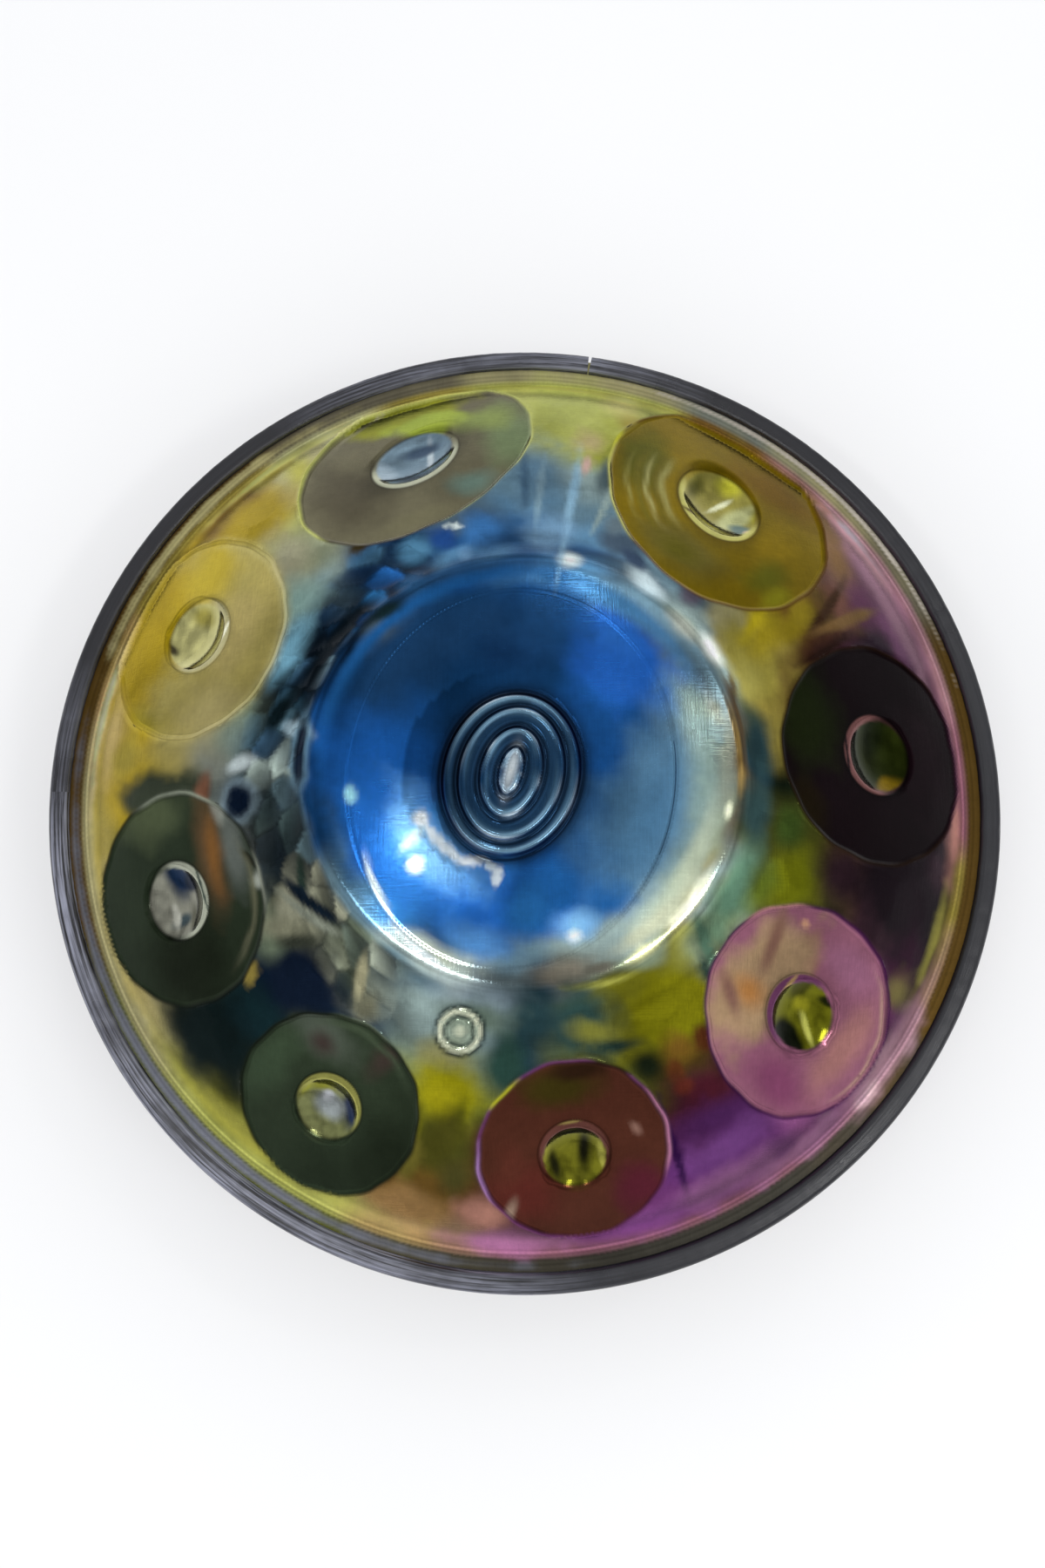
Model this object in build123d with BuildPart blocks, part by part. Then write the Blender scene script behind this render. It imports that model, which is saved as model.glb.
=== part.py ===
"""Handpan: two drawn steel shells bonded at their flanges, with a rubber trim over the edge.

Frame: origin on the ground at the centre of the instrument, +Z up along its axis, +Y towards the
side furthest from the player, and the playing side on top. Millimetres and degrees.
"""

import os
from math import asin, cos, radians, sin

from build123d import *

os.makedirs("parts", exist_ok=True)

# Sheet and seam
sheet = 1.2  # wall of both drawn shells
bond_gap = 0.4  # adhesive between the flanges

# Flanges and edge trim, as radii from the axis
flange_root = 258.5  # where the flat flange turns up into the dome
flange_radius = 274.0
bond_inner = 260.5
bond_outer = 272.5
trim_radius = 277.5
trim_lip = 266.0  # inner edge of the trim's two lips
trim_height = 9.2
trim_corner = 3.2
trim_core_wall = 0.5
trim_core_lip = 268.0
trim_seam_azimuth = 81.5
trim_seam_gap = 0.5  # between the butted ends at the lips
trim_seam_mouth = 2.4  # the ends open to this at the outer edge

# Playing side: a chain of tangent arcs from the flange to the crown. Slopes are below horizontal
# as the surface falls outwards, and radii are those of the outer face.
root_radius = 6.0
rim_slope = 40.0
field_radius = 395.0
field_inner_slope = 20.0
valley_radius = 70.0
shoulder_slope = 38.0
shoulder_radius = 16.0
crown_slope = 7.0

# Tone fields, from the lowest note: azimuth of the centre, its distance from the axis, half
# length round the dome, half width down the dome, and turn of those two axes
tone_fields = [
    (108.4, 205.8, 79.0, 60.7, -32.0),
    (55.5, 201.0, 80.0, 68.0, 55.0),
    (4.5, 198.5, 62.0, 68.5, 4.0),
    (-40.4, 195.4, 54.5, 66.0, 6.0),
    (-82.5, 201.0, 51.2, 57.5, 0.0),
    (-121.0, 204.6, 50.6, 57.6, -5.0),
    (-161.0, 201.7, 58.2, 60.8, 2.0),
    (155.3, 206.5, 61.0, 66.5, 28.0),
]
field_limit = 253.0  # no field reaches further from the axis than this
field_face_radius = 900.0  # the fields are nearly flat
field_step = 0.7  # least depth of a field's edge below the dome
dimple_share = 0.37  # a dimple's outline as a share of its field's
dimple_depth = 6.5
dimple_fullness = 0.6  # height of the bowl's centre as a share of its half depth

# Centre note: a flattened oval on the crown, with a raised and stepped mound
centre_offset = (-7.0, -4.0)
centre_half_length = 99.0
centre_half_width = 84.0
centre_turn = 8.0
centre_face_radius = 1600.0
centre_step = 0.4
mound_turn = 14.0
mound_rise = 3.0
mound_steps = [(43.5, 36.0), (36.0, 28.0), (25.0, 17.0), (14.0, 7.5)]

# Plain round boss between the centre note and the near notes
boss_azimuth = -104.0
boss_circle = 137.0
boss_radius = 12.0
boss_rise = 0.9

# Resonator side: the port's neck, the flat ring that the instrument rests on, and the bowl
port_radius = 49.0  # inside the neck
port_roll = 10.0  # bend from the neck out to the flat ring, on its lower face
neck_length = 24.0  # from the flat ring's lower face to the neck's upper edge
rest_radius = 84.0  # outer edge of the flat ring
blend_radius = 40.0  # between the flat ring and the bowl
bowl_edge_slope = 12.0
bowl_rim_slope = 57.0

press_reach = 60.0  # how far the pressing tools stand out of the dome


def arc_chain(start, arcs):
    """Ends of tangent arcs (radius, slope at the start, slope at the end), walking inwards and up."""
    points = [start]
    for radius, start_slope, end_slope in arcs:
        run = radius * abs(sin(radians(end_slope)) - sin(radians(start_slope)))
        rise = radius * abs(cos(radians(end_slope)) - cos(radians(start_slope)))
        points.append((points[-1][0] - run, points[-1][1] + rise))
    return points


def draw_arcs(points, arcs):
    """Draw a chain of tangent arcs into the open BuildLine."""
    for start, (radius, start_slope, end_slope) in zip(points, arcs):
        heading = (-cos(radians(start_slope)), sin(radians(start_slope)))
        JernArc(start=start, tangent=heading, radius=radius, arc_size=start_slope - end_slope)


def bowl_arcs(inset):
    """Arcs of the resonator side seen upside down, from the flange in to the flat ring."""
    return [
        (root_radius + inset, 0.0, bowl_rim_slope),
        (bowl_radius - inset, bowl_rim_slope, bowl_edge_slope),
        (blend_radius - inset, bowl_edge_slope, 0.0),
    ]


# The bowl's radius fills the run between its two bends, and its depth sets the seam's height.
root_run = root_radius * sin(radians(bowl_rim_slope))
blend_run = blend_radius * sin(radians(bowl_edge_slope))
bowl_run = flange_root - root_run - blend_run - rest_radius
bowl_radius = bowl_run / (sin(radians(bowl_rim_slope)) - sin(radians(bowl_edge_slope)))
bowl_depth = arc_chain((flange_root, 0), bowl_arcs(0))[-1][1]
lower_flange = bowl_depth  # lower face of the lower flange, above the ground
seam_height = lower_flange + sheet + bond_gap / 2  # middle of the bond
flange_base = seam_height + bond_gap / 2  # lower face of the upper flange
flange_top = flange_base + sheet


def dome_arcs(inset):
    """Arcs of the playing side, for the face that lies `inset` inside the outer one."""
    return [
        (root_radius + inset, 0.0, rim_slope),
        (field_radius - inset, rim_slope, field_inner_slope),
        (valley_radius + inset, field_inner_slope, shoulder_slope),
        (shoulder_radius - inset, shoulder_slope, crown_slope),
        (crown_radius - inset, crown_slope, 0.0),
    ]


# The crown's radius brings its arc level exactly on the axis.
crown_radius = 0.0
dome_points = arc_chain((flange_root, flange_top), dome_arcs(0)[:-1])
crown_radius = dome_points[-1][0] / sin(radians(crown_slope))
dome_points = arc_chain((flange_root, flange_top), dome_arcs(0))
crown_top = dome_points[-1][1]

# Centre of the arc that carries the tone fields, in the radial section
field_arc_r = dome_points[1][0] - field_radius * sin(radians(rim_slope))
field_arc_z = dome_points[1][1] - field_radius * cos(radians(rim_slope))


def dome_plane(azimuth, distance):
    """Plane touching the plain dome: x round the dome, y down the dome, z outwards."""
    slope = asin((distance - field_arc_r) / field_radius)
    height = field_arc_z + field_radius * cos(slope)
    turn = radians(azimuth)
    outward = (sin(slope) * cos(turn), sin(slope) * sin(turn), cos(slope))
    return Plane(
        origin=(distance * cos(turn), distance * sin(turn), height),
        x_dir=(sin(turn), -cos(turn), 0),
        z_dir=outward,
    )


def field_depth(distance, half_length, half_width):
    """Depth of a field's middle that leaves its edge field_step below the dome at its highest."""
    around = distance / ((distance - field_arc_r) / field_radius)
    flat = 1 / (2 * field_face_radius)
    along_fall = half_length**2 * (1 / (2 * around) - flat)
    down_fall = half_width**2 * (1 / (2 * field_radius) - flat)
    return max(along_fall, down_fall) + field_step


def field_tool(field, inset):
    """Solid that flattens one tone field down to its nearly flat face."""
    azimuth, distance, half_length, half_width, turn = field
    plane = dome_plane(azimuth, distance)
    depth = field_depth(distance, half_length, half_width) + inset
    face_centre = plane.offset(-depth - (field_face_radius - inset)).origin
    with BuildPart() as tool:
        with BuildSketch(plane.offset(-depth - 4 * sheet)):
            Ellipse(half_length + inset, half_width + inset, rotation=-turn)
        extrude(amount=press_reach)
        with Locations(face_centre):
            Sphere(field_face_radius - inset, mode=Mode.SUBTRACT)
        Cylinder(field_limit + inset, 2 * flange_radius, mode=Mode.INTERSECT)
    return tool.part


def dimple_tool(field, inset):
    """Ellipsoid that presses the bowl in the middle of one tone field."""
    azimuth, distance, half_length, half_width, turn = field
    depth = field_depth(distance, half_length, half_width)
    half_depth = dimple_depth / (1 - dimple_fullness)
    widen = dimple_share / (1 - dimple_fullness**2) ** 0.5
    centre = dome_plane(azimuth, distance).offset(half_depth * dimple_fullness - depth)
    with BuildPart() as tool:
        Sphere(1)
        scale(
            by=(
                half_length * widen + inset,
                half_width * widen + inset,
                half_depth + inset,
            )
        )
    bowl = tool.part.rotate(Axis.Z, -turn)
    return centre.location * bowl


def centre_tool(inset):
    """Solid that flattens the centre note on the crown."""
    drop = centre_half_length**2 * (1 / (2 * crown_radius) - 1 / (2 * centre_face_radius))
    face_top = crown_top - drop - centre_step - inset
    with BuildPart() as tool:
        with BuildSketch(Plane(origin=(*centre_offset, face_top - 4 * sheet))):
            Ellipse(
                centre_half_width + inset, centre_half_length + inset, rotation=-centre_turn
            )
        extrude(amount=press_reach)
        with Locations((*centre_offset, face_top - (centre_face_radius - inset))):
            Sphere(centre_face_radius - inset, mode=Mode.SUBTRACT)
    return tool.part, face_top


def mound(face_top, inset):
    """Stepped mound in the middle of the centre note."""
    with BuildPart() as steps:
        for count, (half_length, half_width) in enumerate(mound_steps, start=1):
            foot = Plane(origin=(*centre_offset, face_top - 2 * sheet))
            with BuildSketch(foot):
                Ellipse(half_width - inset, half_length - inset, rotation=-mound_turn)
            extrude(amount=2 * sheet + count * mound_rise)
    return steps.part


def boss(inset):
    """Round boss, a low disc that follows the dome."""
    with BuildPart() as disc:
        with BuildSketch(dome_plane(boss_azimuth, boss_circle).offset(-4 * sheet)):
            Circle(boss_radius - inset)
        extrude(amount=4 * sheet + boss_rise - inset)
    return disc.part


def playing_form(inset):
    """Everything under the playing side's face that lies `inset` inside the outer one."""
    arcs = dome_arcs(inset)
    points = arc_chain((flange_root, flange_top - inset), arcs)
    corners = [(0, points[-1][1]), (0, flange_base), (flange_root, flange_base)]
    if inset < sheet:
        corners.append(points[0])
    note_faces = [field_tool(field, inset) for field in tone_fields]
    dimples = [dimple_tool(field, inset) for field in tone_fields]
    centre_face, face_top = centre_tool(inset)
    raised = [mound(face_top, inset), boss(inset)]
    with BuildPart() as form:
        with BuildSketch(Plane.XZ):
            with BuildLine():
                draw_arcs(points, arcs)
                Polyline(*corners)
            make_face()
        revolve(axis=Axis.Z)
        add(note_faces, mode=Mode.SUBTRACT)
        add(dimples, mode=Mode.SUBTRACT)
        add(centre_face, mode=Mode.SUBTRACT)
        add(raised)
    return form.part


# Top shell: dome, centre note, tone fields and flange in one sheet
outer_form = playing_form(0)
inner_form = playing_form(sheet)
with BuildPart() as top_shell:
    add(outer_form)
    add(inner_form, mode=Mode.SUBTRACT)
    with BuildSketch(Plane.XY.offset(flange_base)):
        Circle(flange_radius)
        Circle(flange_root, mode=Mode.SUBTRACT)
    extrude(amount=sheet)
top_shell.part.label = "top_shell"
export_step(top_shell.part, "parts/top_shell.step")


# Bottom shell: bowl, flat ring, port with its neck, and flange in one sheet. Its section is drawn
# upside down, on a plane whose y axis points at the ground.
section_plane = Plane(origin=(0, 0, lower_flange), x_dir=(1, 0, 0), z_dir=(0, 1, 0))
neck_outer = port_radius + sheet
roll_end = port_radius + port_roll
roll_foot = bowl_depth - port_roll
neck_top = bowl_depth - neck_length
with BuildPart() as bottom_shell:
    with BuildSketch(section_plane):
        with BuildLine():
            draw_arcs(arc_chain((flange_root, 0), bowl_arcs(0)), bowl_arcs(0))
            Line((rest_radius, bowl_depth), (roll_end, bowl_depth))
            JernArc(
                start=(roll_end, bowl_depth), tangent=(-1, 0), radius=port_roll, arc_size=90
            )
            Polyline(
                (port_radius, roll_foot),
                (port_radius, neck_top),
                (neck_outer, neck_top),
                (neck_outer, roll_foot),
            )
            JernArc(
                start=(neck_outer, roll_foot),
                tangent=(0, 1),
                radius=port_roll - sheet,
                arc_size=-90,
            )
            Line((roll_end, bowl_depth - sheet), (rest_radius, bowl_depth - sheet))
            draw_arcs(arc_chain((flange_root, -sheet), bowl_arcs(sheet)), bowl_arcs(sheet))
            Polyline(
                (flange_root, -sheet),
                (flange_radius, -sheet),
                (flange_radius, 0),
                (flange_root, 0),
            )
        make_face()
    revolve(axis=Axis.Z)
bottom_shell.part.label = "bottom_shell"
export_step(bottom_shell.part, "parts/bottom_shell.step")


# Flange bond: the bead of adhesive between the two flanges
with BuildPart() as flange_bond:
    with BuildSketch(Plane.XY.offset(seam_height - bond_gap / 2)):
        Circle(bond_outer)
        Circle(bond_inner, mode=Mode.SUBTRACT)
    extrude(amount=bond_gap)
flange_bond.part.label = "flange_bond"
export_step(flange_bond.part, "parts/flange_bond.step")


def seam_notch():
    """Wedge between the trim's butted ends, nearly closed at the lips and open at the edge."""
    with BuildPart() as wedge:
        with BuildSketch(Plane.XY.offset(seam_height - trim_height)):
            with BuildLine():
                Polyline(
                    (trim_lip - trim_corner, -trim_seam_gap / 2),
                    (trim_radius + trim_corner, -trim_seam_mouth / 2),
                    (trim_radius + trim_corner, trim_seam_mouth / 2),
                    (trim_lip - trim_corner, trim_seam_gap / 2),
                    close=True,
                )
            make_face()
        extrude(amount=2 * trim_height)
    return wedge.part.rotate(Axis.Z, trim_seam_azimuth)


# Trim core: the steel strip inside the rubber, a U that makes the trim grip the flanges
stack_height = 2 * sheet + bond_gap
rubber_inside = (trim_radius - flange_radius) / 4  # rubber between the core and the flanges
core_height = stack_height + 2 * rubber_inside + 2 * trim_core_wall
core_radius = flange_radius + rubber_inside + trim_core_wall
notch = seam_notch()
with BuildPart() as trim_core:
    with BuildSketch(Plane.XZ):
        with Locations(((trim_core_lip + core_radius) / 2, seam_height)):
            Rectangle(core_radius - trim_core_lip, core_height)
        with Locations(((trim_core_lip + core_radius - 2 * trim_core_wall) / 2, seam_height)):
            Rectangle(
                core_radius - trim_core_lip,
                core_height - 2 * trim_core_wall,
                mode=Mode.SUBTRACT,
            )
    revolve(axis=Axis.Z)
    add(notch, mode=Mode.SUBTRACT)
trim_core.part.label = "trim_core"
export_step(trim_core.part, "parts/trim_core.step")


# Edge trim: rubber U over both flanges, with its core moulded in and one butt seam
with BuildPart() as edge_trim:
    with BuildSketch(Plane.XZ):
        with Locations(((trim_lip + trim_radius) / 2, seam_height)):
            RectangleRounded(trim_radius - trim_lip, trim_height, trim_corner)
        with Locations((flange_radius - press_reach / 2, seam_height)):
            Rectangle(press_reach, stack_height, mode=Mode.SUBTRACT)
    revolve(axis=Axis.Z)
    add(trim_core.part, mode=Mode.SUBTRACT)
    add(notch, mode=Mode.SUBTRACT)
edge_trim.part.label = "edge_trim"
export_step(edge_trim.part, "parts/edge_trim.step")

print("seam height", round(seam_height, 1), "crown top", round(crown_top, 1))
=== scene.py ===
"""Looks of the handpan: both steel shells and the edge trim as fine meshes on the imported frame.

Shapes are worked out in millimetres and degrees, as the part's own are, and become metres when
their mesh is made. Azimuths turn from +X towards +Y.
"""

from math import cos, pi, radians, sin, tau

import bpy
import numpy as np
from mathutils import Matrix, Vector
from mathutils.geometry import delaunay_2d_cdt, tessellate_polygon


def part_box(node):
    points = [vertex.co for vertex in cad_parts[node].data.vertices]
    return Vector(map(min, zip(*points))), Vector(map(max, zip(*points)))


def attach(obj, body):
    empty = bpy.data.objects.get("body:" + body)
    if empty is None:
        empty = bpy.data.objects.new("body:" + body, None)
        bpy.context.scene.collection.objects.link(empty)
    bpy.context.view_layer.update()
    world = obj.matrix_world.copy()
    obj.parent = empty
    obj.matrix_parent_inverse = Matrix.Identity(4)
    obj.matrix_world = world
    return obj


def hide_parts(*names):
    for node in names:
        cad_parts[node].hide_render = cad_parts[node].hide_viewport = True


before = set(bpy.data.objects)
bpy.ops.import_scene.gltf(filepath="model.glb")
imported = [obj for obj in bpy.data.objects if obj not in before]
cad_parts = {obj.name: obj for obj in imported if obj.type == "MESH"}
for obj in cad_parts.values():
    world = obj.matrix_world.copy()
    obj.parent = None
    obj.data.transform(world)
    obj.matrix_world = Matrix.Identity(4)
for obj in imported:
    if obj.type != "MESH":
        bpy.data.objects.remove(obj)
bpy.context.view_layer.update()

MM = 0.001
rng = np.random.default_rng(7)

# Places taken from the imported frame
shell_low, shell_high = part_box("top_shell")
trim_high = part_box("edge_trim")[1]
bond_low, bond_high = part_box("flange_bond")
flange_radius = shell_high.x / MM
flange_base = shell_low.z / MM
mound_top = shell_high.z / MM
trim_radius = trim_high.x / MM - 0.03  # a little inside the CAD's own outline
seam_height = (bond_low.z + bond_high.z) / 2 / MM
bond_gap = (bond_high.z - bond_low.z) / MM
lower_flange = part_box("bottom_shell")[1].z / MM

# Sheet, and the playing side's chain of arcs: radius, and slope at the outer and the inner end
sheet = 1.2
mound_allowance, root_allowance = 1.1, 0.8  # extra depth of the hidden inner face
flange_top = flange_base + sheet
flange_root = 258.5
crown_slope = 7.0
dome_arcs = [(6.0, 0.0, 40.0), (395.0, 40.0, 20.0), (70.0, 20.0, 38.0), (16.0, 38.0, crown_slope)]
shoulder_outer = 122.0
crown_edge = 100.0
rim_start = 246.0
field_margin = 7.5  # the rings of the dome stay this far outside the fields
centre_margin = 3.4  # and this far from the centre note's edge

# Tone fields, clockwise from just left of the top as seen from above, at the places of the part's own:
# azimuth, distance from the axis, half length round the dome, half width down the dome, and turn of
# those two axes
tone_fields = [
    (108.4, 205.8, 79.0, 60.7, -32.0),
    (55.5, 201.0, 80.0, 68.0, 55.0),
    (4.5, 198.5, 62.0, 68.5, 4.0),
    (-40.4, 195.4, 54.5, 66.0, 6.0),
    (-82.5, 201.0, 51.2, 57.5, 0.0),
    (-121.0, 204.6, 50.6, 57.6, -5.0),
    (-161.0, 201.7, 58.2, 60.8, 2.0),
    (155.3, 206.5, 61.0, 66.5, 28.0),
]
field_limit = 253.0  # no field reaches further from the axis than this
field_face_radius = 900.0
field_step = 0.7
field_reach = 92.0  # no field reaches further from its own middle than this
field_lip = 3.4  # width of the band where the dome turns down to a field's face
dimple_share = 0.37
dimple_depth = 6.3
dish_depth = 1.5  # shallow dish round a dimple's bowl
bowl_share = 0.325
bowl_shift = 3.7  # the bowl sits this far down the dome from the middle of its dish

# Centre note and its mound, as (half length, half width) of each step
centre_offset = (-7.0, -4.0)
centre_half_length = 99.0
centre_half_width = 84.0
centre_turn = 8.0
centre_face_radius = 1600.0
centre_step = 0.4
mound_turn = 14.0
mound_steps = [(43.5, 36.0), (36.0, 28.0), (25.0, 17.0), (14.0, 7.5)]
mound_rise = 2.75
mound_flank = 3.0  # width of the rounded flank of each step

# Plain round boss
boss_azimuth = -104.0
boss_circle = 137.0
boss_radius = 12.0
boss_rise = 0.9
boss_groove = 0.62  # the groove's radius as a share of the boss's

# Hammer marks round the plateau: azimuths that the band runs between, and its radii
band_from, band_to = 112.0, 243.0
band_inner, band_outer = 113.0, 150.0
band_middle = (band_from + band_to) / 2
band_circle = 131.0  # the band's marks are spread along this radius
band_mark_sizes = (9.5, 6.2)
band_mark_lean = 32.0
band_mark_depth = 0.62
dome_mark_spacing = 23
dome_mark_size = 12.5
dome_mark_depth = 0.30
rim_count = 360  # points round the flange's edge, the same on both faces of the sheet


# ---------------------------------------------------------------- shapes of the playing side

def arc_table():
    """The dome's arcs as rows: outer radius, centre radius, centre height, arc radius, side."""
    rows = []
    radius_now, height_now = flange_root, flange_top
    for radius, outer, inner in dome_arcs:
        side = 1 if inner < outer else -1
        centre_r = radius_now - side * radius * sin(radians(outer))
        centre_z = height_now - side * radius * cos(radians(outer))
        rows.append((radius_now, centre_r, centre_z, radius, side))
        radius_now = centre_r + side * radius * sin(radians(inner))
        height_now = centre_z + side * radius * cos(radians(inner))
    crown = radius_now / sin(radians(crown_slope))
    rows.append((radius_now, 0.0, height_now - crown * cos(radians(crown_slope)), crown, 1))
    return rows


arc_rows = arc_table()
field_arc_r, field_arc_z, field_radius = arc_rows[1][1:4]
crown_radius = arc_rows[-1][3]
crown_top = arc_rows[-1][2] + crown_radius


def dome_height(r):
    """Height of the plain dome and its flange at radius r."""
    height = np.full(r.shape, flange_top)
    for start, centre_r, centre_z, radius, side in arc_rows:
        on = r < start
        across = np.clip(radius**2 - (r[on] - centre_r) ** 2, 0, None)
        height[on] = centre_z + side * np.sqrt(across)
    return height


def smooth(x, low, high):
    """Smooth step from 0 at low to 1 at high."""
    t = np.clip((x - low) / (high - low), 0, 1)
    return t * t * (3 - 2 * t)


def fall(x, low, high):
    """Smooth step from 1 at low to 0 at high."""
    return 1 - smooth(x, low, high)


def bell(x, width):
    """Smooth bump: 1 where x is 0, and less to either side over the width."""
    return np.exp(-(x / width) ** 2)


def turned(u, v, turn):
    """Coordinates in axes that are turned by the given angle."""
    c, s = cos(radians(turn)), sin(radians(turn))
    return u * c + v * s, v * c - u * s


def oval(u, v, half_u, half_v):
    """Share of the way out to an ellipse's edge, and distance outside that edge."""
    share = np.sqrt((u / half_u) ** 2 + (v / half_v) ** 2) + 1e-9
    steepness = np.sqrt((u / half_u**2) ** 2 + (v / half_v**2) ** 2) / share + 1e-9
    return share, (share - 1) / steepness


def ripple(x, y, wavelength, seed):
    """Smooth waves between about -1 and 1, the same on each run."""
    draw = np.random.default_rng(seed)
    total = np.zeros(x.shape)
    for angle, phase, stretch in zip(draw.uniform(0, tau, 7), draw.uniform(0, tau, 7),
                                     draw.uniform(0.7, 1.5, 7)):
        along = x * cos(angle) + y * sin(angle)
        total += np.sin(along * tau / (wavelength * stretch) + phase)
    return total / 3.2


def dents(x, y, seeds, depth, long_way, short_way, lean):
    """Ground of close hammer marks: hollows round the seeds, with soft ridges between them."""
    result = np.empty(x.shape)
    sharpness = 14.0
    for start in range(0, len(x), 4000):
        part = slice(start, start + 4000)
        dx = x[part, None] - seeds[None, :, 0]
        dy = y[part, None] - seeds[None, :, 1]
        u, v = turned(dx, dy, lean)
        away = (u / long_way) ** 2 + (v / short_way) ** 2
        nearest = away.min(1)
        soft = nearest - np.log(np.exp(-sharpness * (away - nearest[:, None])).sum(1)) / sharpness
        result[part] = depth * (np.minimum(soft, 1.2) - 1)
    return result


def polar_seeds(inner, outer, spacing, draw):
    """Hammer mark centres in a ring, evenly spread with some scatter."""
    seeds = []
    for ring in np.arange(inner, outer, spacing):
        count = int(tau * ring / spacing)
        angles = (np.arange(count) + draw.uniform(0, 1)) * tau / count
        angles += draw.uniform(-0.3, 0.3, count) * spacing / ring
        radii = ring + draw.uniform(-0.3, 0.3, count) * spacing
        seeds.append(np.stack([radii * np.cos(angles), radii * np.sin(angles)], 1))
    return np.concatenate(seeds)


dome_seeds = polar_seeds(112, 262, dome_mark_spacing, rng)
band_seeds = np.stack([rng.uniform(-175, 175, 900), rng.uniform(100, 165, 900)], 1)
keep = [0]
for number, seed in enumerate(band_seeds):
    if min(np.hypot(*((seed - band_seeds[k]) / (1.5, 1.0))) for k in keep) > 9.5:
        keep.append(number)
band_seeds = band_seeds[keep]


def azimuth_from(x, y, azimuth):
    """Degrees from an azimuth, between -180 and 180."""
    return (np.degrees(np.arctan2(y, x)) - azimuth + 180) % 360 - 180


def distance_round(x, y, azimuth, circle):
    """Distance round the axis from an azimuth, along a circle."""
    return np.radians(azimuth_from(x, y, azimuth)) * circle


def from_place(x, y, azimuth, distance):
    """Plan distance from a place on the dome."""
    turn = radians(azimuth)
    return np.hypot(x - distance * cos(turn), y - distance * sin(turn))


def band_strength(x, y):
    """Share of the strong hammering at a place."""
    r = np.hypot(x, y)
    off = np.abs(azimuth_from(x, y, band_middle)) - (band_to - band_from) / 2
    across = smooth(r, band_inner, band_inner + 5) * fall(r, band_outer - 6, band_outer + 8)
    return across * fall(off, -8, 6)


def hammering(x, y):
    """Height of the hammer marks on the dome between the notes."""
    r = np.hypot(x, y)
    along = distance_round(x, y, band_middle, band_circle)
    band = band_strength(x, y)
    height = np.zeros(x.shape)
    on = band > 0.001
    if on.any():
        marks = dents(along[on], r[on], band_seeds, band_mark_depth, *band_mark_sizes, band_mark_lean)
        height[on] += band[on] * marks
    calm = smooth(r, 118, 126) * (1 - 0.75 * smooth(r, 225, 250)) * fall(r, 252, 257)
    on = calm > 0.001
    marks = dents(x[on], y[on], dome_seeds, dome_mark_depth, dome_mark_size, dome_mark_size, 0.0)
    height[on] += calm[on] * marks
    height[on] += calm[on] * 0.28 * ripple(x[on], y[on], 62.0, 5)
    return height


def field_axes(azimuth, distance):
    """Origin on the dome and axes of a field: round the dome, down the dome and outwards."""
    slope = np.arcsin((distance - field_arc_r) / field_radius)
    turn = radians(azimuth)
    height = field_arc_z + field_radius * np.cos(slope)
    origin = np.array([distance * cos(turn), distance * sin(turn), height])
    outward = np.array([np.sin(slope) * cos(turn), np.sin(slope) * sin(turn), np.cos(slope)])
    around = np.array([sin(turn), -cos(turn), 0.0])
    return origin, around, np.cross(outward, around), outward


def field_depth(distance, half_length, half_width):
    """Depth of a field's middle that leaves its edge field_step below the dome at its highest."""
    around = distance / ((distance - field_arc_r) / field_radius)
    flat = 1 / (2 * field_face_radius)
    along_fall = half_length**2 * (1 / (2 * around) - flat)
    down_fall = half_width**2 * (1 / (2 * field_radius) - flat)
    return max(along_fall, down_fall) + field_step


def field_place(number, points):
    """Coordinates of points on a field: along it, down it, above its plane, and edge distance."""
    azimuth, distance, half_length, half_width, turn = tone_fields[number]
    origin, around, down, outward = field_axes(azimuth, distance)
    offset = points - origin
    u, v = turned(offset @ around, offset @ down, -turn)
    share, edge = oval(u, v, half_length, half_width)
    edge = np.maximum(edge, np.hypot(points[:, 0], points[:, 1]) - field_limit)
    angle = np.arctan2(v / half_width, u / half_length)
    wobble = 0.5 * np.sin(3 * angle + number) + 0.35 * np.sin(8 * angle + 2.3 * number)
    wobble += 0.25 * np.sin(17 * angle + 4.1 * number)
    return u, v, offset @ outward, share, edge + wobble * smooth(share, 0.6, 0.95)


def soft_lower(a, b, sharpness):
    """The lower of two heights, rounded where they cross."""
    low = np.minimum(a, b)
    return low - np.log1p(np.exp(-sharpness * np.abs(a - b))) / sharpness


def dimple_ovals(u, v, half_length, half_width, turn):
    """Share of the way out to the edges of a dimple's dish and of its bowl."""
    dish, _ = oval(u, v, half_length * dimple_share, half_width * dimple_share)
    shift_u, shift_v = turned(0.0, bowl_shift, -turn)
    bowl, _ = oval(u - shift_u, v - shift_v, half_length * bowl_share, half_width * bowl_share)
    return dish, bowl


def dimple_height(u, v, half_length, half_width, turn):
    """Height of a dimple's dish and bowl against the field's face."""
    dish_share, bowl = dimple_ovals(u, v, half_length, half_width, turn)
    dish = dish_depth * (np.minimum(dish_share, 1.6) ** 3 - 1)
    bowl = (dimple_depth - dish_depth) * (np.minimum(bowl, 2.0) ** 2.3 - 1) - dish_depth
    floor = -dish_depth * (1 - 0.25 * np.minimum(dish_share, 1.0))
    return soft_lower(soft_lower(np.maximum(dish, floor), bowl, 5.0), np.zeros(u.shape), 7.0)


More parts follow.
